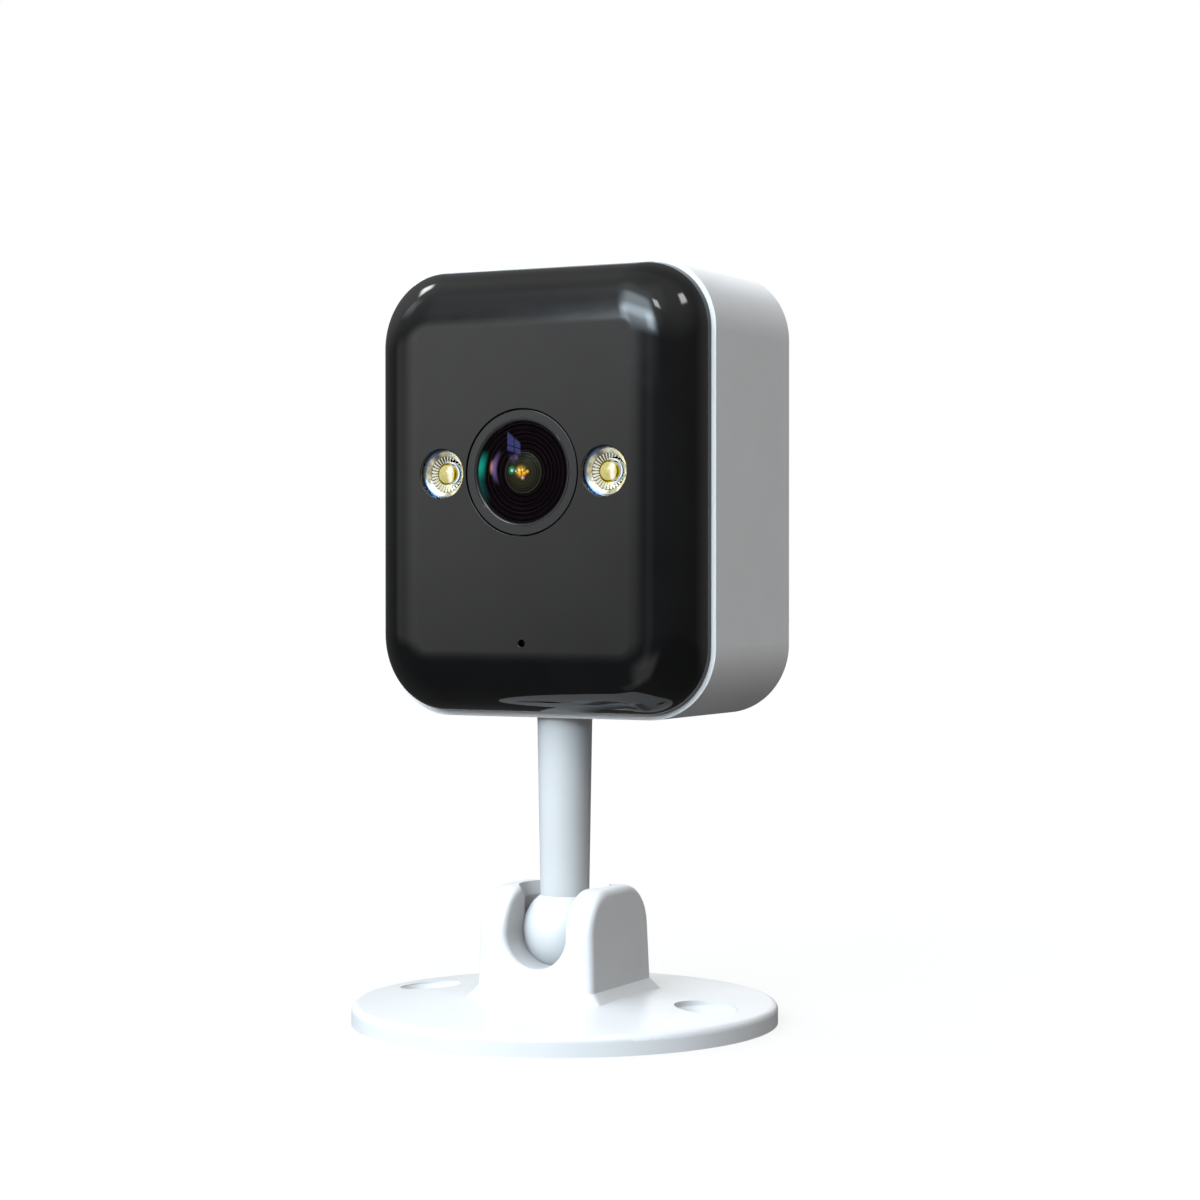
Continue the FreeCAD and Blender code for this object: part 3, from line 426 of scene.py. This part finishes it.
class MeshBuilder:
    """Collects vertices, faces and a normal for each face corner."""

    def __init__(self):
        self.points = []
        self.faces = []
        self.corner_normals = []

    def loop(self, points):
        start = len(self.points)
        self.points.extend(points)
        return list(range(start, len(self.points)))

    def bridge(self, first, second, first_normals, second_normals):
        """Join two closed loops of the same length with quads."""
        count = len(first)
        for index in range(count):
            after = (index + 1) % count
            self.faces.append((first[index], first[after], second[after], second[index]))
            self.corner_normals.append((first_normals[index], first_normals[after],
                                        second_normals[after], second_normals[index]))

    def fill(self, loops, normal):
        """Fill a flat face that has holes in it."""
        flat = bmesh.new()
        made = {}
        for loop in loops:
            for index in loop:
                made[index] = flat.verts.new(self.points[index])
            for index, vertex in enumerate(loop):
                flat.edges.new((made[vertex], made[loop[index - 1]]))
        found = {vertex: index for index, vertex in made.items()}
        filled = bmesh.ops.triangle_fill(flat, edges=flat.edges[:], use_beauty=True, normal=normal)
        for face in (item for item in filled["geom"] if isinstance(item, bmesh.types.BMFace)):
            corners = [found[vertex] for vertex in face.verts]
            if face.normal.dot(normal) < 0:
                corners.reverse()
            self.faces.append(tuple(corners))
            self.corner_normals.append((normal,) * len(corners))
        flat.free()

    def mesh(self, name):
        made = bpy.data.meshes.new(name)
        made.from_pydata([tuple(point) for point in self.points], [], self.faces)
        made.shade_smooth()
        made.normals_split_custom_set([tuple(n) for face in self.corner_normals for n in face])
        return made


def circle_points(centre, radius, y, count):
    """Points round a circle that faces -Y, with their outward directions."""
    points, outs = [], []
    for index in range(count):
        angle = 2 * math.pi * index / count
        out = Vector((math.cos(angle), 0, math.sin(angle)))
        points.append(Vector((centre[0], y, centre[1])) + out * radius)
        outs.append(out)
    return points, outs


def front_panel():
    """The bulged front shell, with its holes for the lens, the lights and the microphone."""
    low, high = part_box("front_panel")
    rim_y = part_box("housing")[0].y
    half_width, half_height = (high.x - low.x) / 2, (high.z - low.z) / 2
    centre_z = (high.z + low.z) / 2
    builder = MeshBuilder()
    forward = Vector((0, -1, 0))

    def add_ring(inset, y, outward, ahead):
        ring = panel_ring(half_width, half_height, centre_z, inset, y, outward, ahead)
        return builder.loop([point for point, normal in ring]), [normal for point, normal in ring]

    outer = [add_ring(0, high.y, 1, 0)]
    inner = [add_ring(PANEL_WALL, high.y, -1, 0)]
    seat = outer[0]
    stretch = (rim_y - FACE_Y) / panel_section()[-1][1]
    for inset, rise, outward, ahead in panel_section():
        y = rim_y - rise * stretch
        outer.append(add_ring(inset, y, outward, ahead))
        inner.append(add_ring(inset + outward * PANEL_WALL, y + ahead * PANEL_WALL, -outward, -ahead))
    for first, second in zip(outer, outer[1:]):
        builder.bridge(first[0], second[0], first[1], second[1])
    for first, second in zip(inner, inner[1:]):
        builder.bridge(second[0], first[0], second[1], first[1])
    back = Vector((0, 1, 0))
    builder.bridge(inner[0][0], seat[0], [back] * len(seat[0]), [back] * len(seat[0]))

    holes = [
        (LENS, TRIM_HOLE, 128),
        (LIGHTS[0], WINDOW_RADIUS + WINDOW_GAP, 72),
        (LIGHTS[1], WINDOW_RADIUS + WINDOW_GAP, 72),
        ((0, middle("microphone").z), MICROPHONE_HOLE, 32),
    ]
    front_loops, back_loops = [outer[-1][0]], [inner[-1][0]]
    for centre, radius, count in holes:
        loops = []
        for turn in range(4):
            lean = math.radians(90) * turn / 3
            grow = HOLE_EDGE * (1 - math.sin(lean))
            depth = HOLE_EDGE * (1 - math.cos(lean))
            points, outs = circle_points(centre, radius + grow, FACE_Y + depth, count)
            normals = [forward * math.cos(lean) - out * math.sin(lean) for out in outs]
            loops.append((builder.loop(points), normals))
        points, outs = circle_points(centre, radius, FACE_Y + PANEL_WALL, count)
        loops.append((builder.loop(points), [-out for out in outs]))
        for first, second in zip(loops, loops[1:]):
            builder.bridge(first[0], second[0], first[1], second[1])
        front_loops.append(loops[0][0])
        back_loops.append(loops[-1][0])
    builder.fill(front_loops, forward)
    builder.fill(back_loops, back)
    new_piece("front_panel_shell", builder.mesh("front_panel_shell"), MATERIALS["black_gloss"], "head",
              ["front_panel"])


# ---------------------------------------------------------------- turned pieces on the head's face

def dome(radius, edge, apex, steps=14):
    """Profile points of a dome, from its rim to its top, in mm."""
    rise = apex - edge
    curve = (radius ** 2 + rise ** 2) / (2 * rise)
    widest = math.asin(radius / abs(curve))
    points = []
    for step in range(steps + 1):
        lean = widest * (1 - step / steps)
        points.append((abs(curve) * math.sin(lean), apex - curve * (1 - math.cos(lean))))
    points[-1] = (0.0, apex)
    return points


def lathe(name, profile, centres, count, ripple=None):
    """Solids turned about lines that run straight ahead of the face.

    The profile is a closed loop of (radius, height in front of the face) in mm. A ripple adds to the height
    by radius and angle.
    """
    solid = bmesh.new()
    for across, up in centres:
        rings = []
        for radius, height in profile:
            ring = []
            for index in range(count if radius else 1):
                angle = 2 * math.pi * index / count
                lift = ripple(radius, angle) if ripple else 0
                ring.append(solid.verts.new((across + radius * MM * math.cos(angle),
                                             FACE_Y - (height + lift) * MM,
                                             up + radius * MM * math.sin(angle))))
            rings.append(ring)
        for first, second in zip(rings, rings[1:] + rings[:1]):
            for index in range(count):
                after = (index + 1) % count
                corners = [first[index % len(first)], first[after % len(first)],
                           second[after % len(second)], second[index % len(second)]]
                corners = list(dict.fromkeys(corners))      # a point on the axis counts once
                if len(corners) > 2:
                    solid.faces.new(corners)
    bmesh.ops.recalc_face_normals(solid, faces=solid.faces[:])
    mesh = bpy.data.meshes.new(name)
    solid.to_mesh(mesh)
    solid.free()
    mesh.shade_smooth()
    mesh.set_sharp_from_angle(angle=math.radians(28))
    return mesh


def trim_ring():
    """The polished ring round the lens, with its fine step near the bore."""
    profile = [(6.95, -2.6), (9.15, -2.6), (9.15, -1.65), (8.7, -1.65), (8.7, -0.5), (8.56, -0.4),
               (8.56, -0.12), (8.55, -0.09), (8.53, -0.08), (8.5, -0.08), (7.48, -0.08), (7.44, -0.08),
               (7.41, -0.1), (7.4, -0.16), (7.32, -0.16), (7.31, -0.1), (7.28, -0.08), (7.15, -0.08),
               (7.1, -0.1), (6.98, -0.2), (6.95, -0.26)]
    new_piece("lens_trim", lathe("lens_trim", profile, [LENS], 160), MATERIALS["black_trim"], "head",
              ["lens_trim_ring"])


def lens_baffle():
    """The ringed black funnel behind the front glass, its rings a painted glow where light would catch the
    ridges.
    """
    ridges = 14
    bore, rim, seat = 2.95, 6.84, 6.35
    profile = [(bore, -1.45), (seat, -1.45), (seat, -0.545), (rim, -0.545)]
    for ridge in range(ridges):
        outer = rim - (rim - bore) * ridge / ridges
        inner = rim - (rim - bore) * (ridge + 1) / ridges
        level = -0.53 - 0.4 * ridge / ridges
        profile += [(outer, level), ((outer + inner) / 2, level + 0.012), (inner + 0.04, level)]
    profile.append((bore, -0.95))

    shader = Shader("ringed_black")
    radius = shader.face_place(*LENS)[2]
    wobble = shader.maths("MULTIPLY_ADD", shader.noise(1.5 * MM, 2), 0.05, radius)
    # a painted glow: purple rings, uneven by noise, and fine brown ones where light would catch the ridges,
    # over a faint painted glow everywhere
    rings = shader.hump(shader.maths("PINGPONG", wobble, 0.31), 0.0, 0.13)
    fine = shader.hump(shader.maths("PINGPONG", wobble, 0.205), 0.205, 0.06)
    uneven = shader.ramp(shader.noise(2.5 * MM, 2), 0.4, 1.3)
    purple_ring_glow = shader.masked(rings, uneven)
    shader.glow(shader.paint([((0.011, 0.005, 0.01), purple_ring_glow), ((0.006, 0.004, 0.002), fine)],
                             (0.001, 0.0008, 0.001)))
    shader.set(base_color=(0.001, 0.0008, 0.001, 1), roughness=0.6, specular_ior_level=0)
    new_piece("lens_baffle_rings", lathe("lens_baffle_rings", profile, [LENS], 128), shader.material, "head",
              ["lens_baffle"])


def front_glass():
    """The front element, with painted coloured reflections standing in for those of its coatings."""
    profile = dome(6.4, -0.5, 0.3)[::-1] + [(6.85, -0.5)] + dome(6.85, -0.2, 0.9)
    shader = Shader("coated_front_glass")
    right, above, radius = shader.face_place(*LENS)[:3]

    # the painted crescent reflections at the far side
    teal = shader.masked(shader.step(radius, 5.2, 6.4), shader.hump(above, 1.0, 2.3),
                         shader.step(right, -4.6, -5.6))
    tail = shader.masked(shader.step(radius, 5.5, 6.5), shader.hump(above, -1.2, 3.4),
                         shader.step(right, -4.4, -5.4))
    from_axis = shader.face_place(LENS[0] - 0.2 * MM, LENS[1] + 0.4 * MM)[2]
    peach = shader.masked(shader.hump(from_axis, 4.25, 0.42), shader.hump(above, 0.75, 1.3),
                          shader.step(right, -3.2, -3.8))
    lilac = shader.masked(shader.hump(from_axis, 3.75, 0.62), shader.hump(above, 0.7, 2.6),
                          shader.step(right, -2.4, -3.2))

    # a painted reflection of a leaning window with four panes, and painted blotchy reflections below it
    lean = shader.maths("MULTIPLY_ADD", above, 0.12, right)
    sill = shader.maths("MULTIPLY_ADD", right, 0.28, above)
    roof = shader.maths("MULTIPLY_ADD", right, 0.7, above)
    panes = shader.masked(shader.step(lean, -1.55, -1.35), shader.step(lean, 0.72, 0.5),
                          shader.step(sill, 2.3, 2.8), shader.step(roof, 4.3, 3.9))
    window = shader.masked(panes, shader.step(shader.away(lean, -0.35), 0.02, 0.09),
                           shader.step(shader.away(sill, 3.25), 0.02, 0.09))
    blotchy_reflection = shader.ramp(shader.noise(0.5 * MM, 3), 0.2, 1.2)
    trail = shader.masked(shader.hump(lean, -0.75, 0.75), shader.hump(above, 1.9, 0.9), blotchy_reflection)
    second = shader.masked(shader.hump(lean, -0.1, 0.5), shader.hump(above, 2.0, 0.55))
    # all these layers are painted reflections, glowing on the clear skin
    painted = shader.paint([
        ((0.004, 0.27, 0.2), teal),
        ((0.002, 0.05, 0.045), tail),
        ((0.42, 0.2, 0.13), peach),
        ((0.14, 0.1, 0.27), lilac),
        ((0.038, 0.044, 0.15), window),
        ((0.05, 0.035, 0.11), trail),
        ((0.09, 0.05, 0.16), second),
    ])
    shader.see_through(painted)
    new_piece("lens_front_glass", lathe("lens_front_glass", profile, [LENS], 160), shader.material, "head",
              ["lens_front_element"])


def second_glass():
    """The small coated dome in the lens's middle, with painted glints standing in for those of the elements
    behind it.
    """
    profile = [(0, -2.3), (3.4, -2.3), (3.4, -1.55), (2.9, -1.55), (2.9, -0.6)] + dome(2.85, -0.55, -0.12)
    shader = Shader("coated_second_glass")
    radius = shader.face_place(*LENS)[2]
    # the rings, rim and olive tint below are a painted glow, standing in for the coating's reflections
    rings = shader.hump(shader.maths("PINGPONG", radius, 0.2), 0.0, 0.1)
    rim = shader.hump(radius, 2.72, 0.14)
    olive_glow = shader.step(radius, 2.9, 1.4)

    def spot(x, z, size):
        return shader.hump(shader.face_place(LENS[0] + x * MM, LENS[1] + z * MM)[2], 0, size)

    rough_edge = shader.ramp(shader.noise(0.35 * MM, 3), 0.1, 1.5)
    # painted glints, ragged by noise; the last is a painted dark spot of shade at their middle
    glints = [
        ((0.02, 0.42, 0.25), shader.masked(spot(-1.65, 0.35, 0.75), rough_edge)),
        ((0.45, 0.95, 0.8), spot(-1.6, 0.25, 0.28)),
        ((0.5, 0.9, 0.75), spot(-0.95, 0.2, 0.2)),
        ((0.9, 0.5, 0.03), shader.masked(spot(-0.15, 0.1, 1.15), rough_edge)),
        ((1.0, 0.55, 0.02), spot(0.85, 0.12, 0.35)),
        ((1.0, 0.2, 0.0), spot(0.45, -0.1, 0.3)),
        ((1.0, 0.9, 0.5), spot(-0.45, 0.3, 0.2)),
        ((1.0, 0.95, 0.9), spot(0.1, 0.35, 0.16)),
        ((0.85, 0.4, 0.5), shader.masked(spot(0.15, -0.75, 0.4), rough_edge)),
        ((-1.2, -0.9, -0.4), spot(-0.1, 0.05, 0.16)),
    ]
    shader.glow(shader.paint([
        ((0.014, 0.014, 0.006), olive_glow),
        ((0.012, 0.013, 0.007), rings),
        ((0.02, 0.017, 0.012), rim),
        *glints,
    ], (0.004, 0.0035, 0.003)))
    shader.set(base_color=(0.003, 0.003, 0.002, 1), roughness=0.1, specular_ior_level=0.02)
    new_piece("lens_second_glass", lathe("lens_second_glass", profile, [LENS], 96), shader.material, "head",
              ["lens_second_element"])


LIGHT_RIBS = 30


def at_both_lights(shader, draw):
    """What a drawing function returns for each light, added up."""
    return [shader.maths("ADD", *pair) for pair in zip(*(draw(*centre) for centre in LIGHTS))]


def light_reflectors():
    """The lights' cups, painted bright with highlights and dark with shade, with a ring of radial ribs round
    the emitter.
    """
    def ribs(radius, angle):
        return 0.09 * math.cos(angle * LIGHT_RIBS) if 1.5 < radius < 2.45 else 0

    profile = [(1.45, -2.7), (3.4, -2.7), (3.4, -1.0), (3.3, -1.0), (3.05, -1.12), (2.75, -1.32),
               (2.5, -1.42), (2.4, -1.44), (2.0, -1.52), (1.55, -1.66), (1.47, -1.8), (1.45, -2.3)]
    shader = Shader("ribbed_reflector")

    def draw(across, up):
        from_bulge = shader.face_place(across + 0.9 * MM, up)[2]
        bulge = shader.step(from_bulge, 1.72, 1.6)
        right, _, radius, angle = shader.face_place(across, up)
        bars = shader.step(shader.maths("SINE", shader.maths("MULTIPLY", angle, LIGHT_RIBS)), -0.35, 0.5)
        beams = shader.masked(bars, shader.step(radius, 1.5, 1.6), shader.step(radius, 2.5, 2.4),
                              shader.maths("SUBTRACT", 1, bulge))
        lines = shader.maths("ADD", shader.hump(from_bulge, 1.82, 0.1), shader.hump(from_bulge, 1.3, 0.1))
        outline = shader.masked(lines, shader.step(right, 0.2, 0.9))
        navy_reflection = shader.masked(shader.step(radius, 2.95, 3.25), shader.step(right, -0.2, -1.8),
                             shader.step(radius, 3.6, 3.5))
        # a dark notch of painted shade at the top, taken out of the cups' glow
        shaded_notch = shader.masked(shader.hump(angle, 2.1, 0.5), shader.step(radius, 2.3, 2.6))
        shade = shader.maths("SUBTRACT", shader.step(radius, 3.25, 3.0), shaded_notch)
        cups = shader.masked(shader.maths("MAXIMUM", shade, 0), shader.step(radius, 2.45, 2.6),
                             shader.ramp(shader.noise(0.7 * MM, 3), 0.35, 1.25))
        sunny = shader.masked(cups, shader.step(right, 0.6, 2.2))
        return bulge, beams, cups, sunny, navy_reflection, outline

    bulge_highlight, beams, cups, sunny, navy_reflection, outline = at_both_lights(shader, draw)
    # a painted glow: highlights on the bulge, the ribs and the cups, brighter on the lit right side, a navy
    # painted reflection at the left edge, and dark outline lines of painted shade
    shader.glow(shader.paint([
        ((0.3, 0.33, 0.33), bulge_highlight),
        ((0.75, 0.7, 0.42), beams),
        ((0.42, 0.38, 0.22), cups),
        ((0.6, 0.55, 0.28), sunny),
        ((0.01, 0.03, 0.07), navy_reflection),
        ((-0.7, -0.65, -0.5), outline),
    ], (0.01, 0.01, 0.01)))
    # the metal's colour is painted lighter under the same highlights and bluer under the navy painted
    # reflection
    shader.colour(shader.paint([
        ((0.45, 0.45, 0.38), beams),
        ((0.4, 0.38, 0.3), cups),
        ((-0.05, -0.02, 0.04), navy_reflection),
    ], (0.1, 0.11, 0.13)))
    shader.set(metallic=1.0, roughness=0.16)
    new_piece("led_reflector_cups", lathe("led_reflector_cups", profile, LIGHTS, LIGHT_RIBS * 8, ribs),
              shader.material, "head", ["led_reflectors"])


def light_emitters():
    """The yellow emitters, each under a small clear dome, painted to glow, with a painted highlight to the
    right and painted shade round the edge.
    """
    profile = [(0, -3.18), (2, -3.18), (2, -2.75), (1.38, -2.75), (1.38, -1.6)] + dome(1.33, -1.5, -1.05, 10)
    shader = Shader("phosphor_dome")

    def draw(across, up):
        right, _, radius, _ = shader.face_place(across, up)
        close = shader.step(radius, 1.4, 1.36)
        # a painted highlight right of the middle, and a painted dark ring of shade at the edge
        return (shader.masked(shader.hump(right, 0.72, 0.6), close),
                shader.masked(shader.step(radius, 1.22, 1.3), close))

    pale, edge = at_both_lights(shader, draw)
    mottle = shader.ramp(shader.noise(0.4 * MM, 3), 0, 1)
    # a painted yellow glow, mottled by noise, with the painted highlight added and the painted shade taken
    # away
    shader.glow(shader.paint([
        ((0.12, 0.1, 0.04), mottle),
        ((0.45, 0.5, 0.62), pale),
        ((-0.4, -0.4, -0.4), edge),
    ], (0.3, 0.26, 0.1)))
    shader.set(base_color=(0.25, 0.21, 0.06, 1), roughness=0.12)
    new_piece("led_emitter_domes", lathe("led_emitter_domes", profile, LIGHTS, 64), shader.material, "head",
              ["led_emitters"])


def light_windows():
    """The clear windows over the lights, with painted highlights on the curved edges of their moulded lenses.
    """
    profile = [(0, -0.95), (3.4, -0.95), (3.4, -0.36), (3.36, -0.3)] + dome(3.32, -0.28, -0.08, 10)
    shader = Shader("window_lens")

    def draw(across, up):
        right, _, radius, _ = shader.face_place(across + 1.05 * MM, up)
        ring = shader.masked(shader.hump(radius, 1.62, 0.17), shader.step(right, -0.9, 0.2))
        right, above, radius, _ = shader.face_place(across + 0.35 * MM, up + 0.2 * MM)
        rim = shader.masked(shader.hump(radius, 3.0, 0.14), shader.step(above, -0.6, -1.6),
                            shader.step(right, 0.6, -0.6))
        return ring, rim

    ring, rim = at_both_lights(shader, draw)
    # painted highlights: a bright ring and rim glowing on the clear skin
    painted = shader.paint([((0.7, 0.7, 0.6), ring), ((0.5, 0.6, 0.7), rim)])
    shader.see_through(painted, shine=GLASS_SHINE)
    new_piece("led_window_caps", lathe("led_window_caps", profile, LIGHTS, 96), shader.material,
              "head", ["led_windows"])


# ---------------------------------------------------------------- stage

CAMERA_AZIMUTH = math.radians(28.2)
CAMERA_DISTANCE = 0.3835
CAMERA_HEIGHT = 0.0628
CAMERA_PITCH = math.radians(0.53)
CAMERA_YAW = math.radians(0.74)
CAMERA_LENS = 81.7


def camera():
    data = bpy.data.cameras.new("camera")
    data.lens = CAMERA_LENS
    data.sensor_width = 36
    data.clip_start = 0.01
    data.clip_end = 20
    view = bpy.data.objects.new("camera", data)
    bpy.context.scene.collection.objects.link(view)
    view.location = (CAMERA_DISTANCE * math.sin(CAMERA_AZIMUTH), -CAMERA_DISTANCE * math.cos(CAMERA_AZIMUTH),
                     CAMERA_HEIGHT)
    view.rotation_euler = (math.radians(90) - CAMERA_PITCH, 0, CAMERA_AZIMUTH - CAMERA_YAW)
    bpy.context.scene.camera = view


# The studio: soft boxes painted on the sky. Azimuth 0 is straight ahead of the lens and grows to its
# left hand; each box has a centre, a size and an edge blur in degrees, and a brightness in whites.
SOFT_BOXES = [
    # azimuth, elevation, width, height, blur, brightness, tint
    (-7, 28, 38, 36, 14, 4.2, (0.85, 1.0, 1.12)),       # front window
    (-7, 24, 37, 11, 8, 5.2, (0.82, 1.0, 1.15)),        # its brighter lower band
    (6, 18, 9, 14, 7, 4.8, (0.82, 1.0, 1.15)),          # its bright near side
    (-24, 17, 6, 16, 5, 3.5, (0.82, 1.0, 1.15)),        # its bright far side
    (-5, 40, 60, 44, 22, 0.5, (0.9, 1.0, 1.08)),        # the glow round it
    (29, 46, 12, 11, 4, 9.0, (1, 1, 1)),                # small lamp beside it
    (78, 49, 15, 11, 4, 9.0, (1, 1, 1)),                # small lamp at the side
    (-100, 45, 12, 9, 5, 9.0, (1, 1, 1)),               # small lamp at the far side
    (-76, 32, 24, 12, 9, 0.9, (0.9, 1, 1.1)),           # its smear
    (1, 0, 9, 60, 8, 0.16, (0.9, 1, 1.1)),              # faint upright strip
    (0, 55, 90, 30, 14, 0.25, (0.85, 1.0, 1.08)),       # ceiling glow above the window
    (-10, 52, 200, 60, 60, 0.3, (1, 1, 1)),             # broad glow from the front ceiling
    (150, 5, 70, 60, 30, 0.17, (1, 1, 1)),              # glow behind, on the camera's side
    (-48, 2, 40, 12, 10, 0.4, (1, 1, 1)),               # the front card's dim far end
    (-165, 15, 30, 22, 10, 1.6, (1, 1, 1)),             # glow behind
    (4, -36, 32, 34, 18, 0.55, (1, 0.99, 0.97)),        # glows from the table
    (-15, -54, 34, 14, 8, 0.18, (0.95, 1, 1)),
]
FILL_BOXES = [                                          # these light the part but don't show in reflections
    (-65, 45, 100, 60, 40, 1.4, (0.95, 1.0, 1.02)),
]
# The even light from all round, as (elevation in degrees, brightness).
AMBIENT = [(-90, 0.14), (-45, 0.09), (-8, 0.08), (0, 0.11), (20, 0.2), (45, 0.28), (90, 0.35)]


class Sky(NodeTree):
    """The studio's surroundings as a world shader, split by azimuth and elevation."""

    def __init__(self, world):
        world.use_nodes = True
        self.tree = world.node_tree
        self.tree.nodes.clear()
        place = self.add("ShaderNodeTexCoord").outputs["Generated"]
        axes = self.add("ShaderNodeSeparateXYZ")
        self.link(place, axes.inputs[0])
        backward = self.maths("MULTIPLY", axes.outputs["Y"], -1)
        self.azimuth = self.maths("ARCTAN2", axes.outputs["X"], backward)
        self.elevation = self.maths("ARCSINE", axes.outputs["Z"])

    def near(self, angle, centre, width, blur):
        """1 within a width of a centre, both in degrees, falling to 0 across the blur."""
        return self.step(self.away(angle, math.radians(centre)), math.radians(width + blur) / 2,
                         math.radians(width - blur) / 2)

    def box(self, azimuth, elevation, width, height, blur, brightness, tint):
        across = self.near(self.azimuth, azimuth, width, blur)
        upward = self.near(self.elevation, elevation, height, blur)
        return self.scaled([brightness * channel for channel in tint], self.maths("MULTIPLY", across, upward))

    def unmirrored(self, colour):
        """Keep a light out of glossy reflections."""
        mirrored = self.add("ShaderNodeLightPath").outputs["Is Glossy Ray"]
        return self.scaled(colour, self.maths("SUBTRACT", 1, mirrored))

    def gradient(self, stops):
        """Brightness against elevation, through a list of (degrees, brightness) stops."""
        node = self.add("ShaderNodeFloatCurve")
        span = self.add("ShaderNodeMapRange")
        span.inputs["From Min"].default_value = math.radians(-90)
        span.inputs["From Max"].default_value = math.radians(90)
        self.link(self.elevation, span.inputs["Value"])
        self.link(span.outputs["Result"], node.inputs["Value"])
        curve = node.mapping.curves[0]
        curve.points[0].location = (0, stops[0][1])
        curve.points[1].location = (1, stops[-1][1])
        for degrees, brightness in stops[1:-1]:
            curve.points.new((degrees + 90) / 180, brightness)
        node.mapping.update()
        return self.scaled((1, 1, 1), node.outputs["Value"])

    def finish(self, light, seen):
        """Light the scene by one colour and show another to the camera."""
        shaders = []
        for colour in (light, seen):
            node = self.add("ShaderNodeBackground")
            self.feed(node.inputs["Color"], colour)
            shaders.append(node.outputs[0])
        choose = self.add("ShaderNodeMixShader")
        self.link(self.add("ShaderNodeLightPath").outputs["Is Camera Ray"], choose.inputs["Fac"])
        self.link(shaders[0], choose.inputs[1])
        self.link(shaders[1], choose.inputs[2])
        self.link(choose.outputs[0], self.add("ShaderNodeOutputWorld").inputs["Surface"])


def studio():
    scene = bpy.context.scene
    scene.view_settings.view_transform = "Standard"
    scene.world = bpy.data.worlds.new("studio")
    sky = Sky(scene.world)
    light = sky.gradient(AMBIENT)
    for box in SOFT_BOXES:
        light = sky.plus(light, sky.box(*box))
    for box in FILL_BOXES:
        light = sky.plus(light, sky.unmirrored(sky.box(*box)))
    light = sky.plus(light, front_card(sky))
    sky.finish(light, (1, 1, 1, 1))


def front_card(sky):
    """A pale card in the line of the flat front's reflection, brighter towards its top."""
    shape = sky.maths("MULTIPLY", sky.near(sky.azimuth, -30, 34, 22), sky.near(sky.elevation, 1.75, 21, 13))
    rise = sky.add("ShaderNodeMapRange")
    rise.inputs["From Min"].default_value = math.radians(-3)
    rise.inputs["From Max"].default_value = math.radians(7)
    rise.inputs["To Min"].default_value = 0.3
    rise.inputs["To Max"].default_value = 1.08
    sky.link(sky.elevation, rise.inputs["Value"])
    return sky.scaled((1, 1, 1), sky.maths("MULTIPLY", shape, rise.outputs["Result"]))


def floor():
    """A plain pale floor that only the camera sees: the studio's own table glow lights the part."""
    mesh = bpy.data.meshes.new("floor")
    reach = 3.0
    mesh.from_pydata([(-reach, -reach, 0), (reach, -reach, 0), (reach, reach, 0), (-reach, reach, 0)], [],
                     [(0, 1, 2, 3)])
    table = bpy.data.objects.new("floor", mesh)
    bpy.context.scene.collection.objects.link(table)
    table.location.z = -0.02 * MM
    table.visible_glossy = False
    table.visible_diffuse = False
    table.visible_transmission = False
    table.visible_shadow = False
    pale = moulded_plastic("pale_floor", (0.9, 0.9, 0.9), 0.6)
    glow = pale.add("ShaderNodeEmission")
    blend = pale.add("ShaderNodeMixShader")
    blend.inputs["Fac"].default_value = 0.85
    pale.link(pale.surface.outputs[0], blend.inputs[1])
    pale.link(glow.outputs[0], blend.inputs[2])
    pale.link(blend.outputs[0], pale.output.inputs["Surface"])
    mesh.materials.append(pale.material)


# ---------------------------------------------------------------- assemble

dress_cad_nodes()
front_panel()
trim_ring()
lens_baffle()
front_glass()
second_glass()
light_reflectors()
light_emitters()
light_windows()
studio()
floor()
camera()
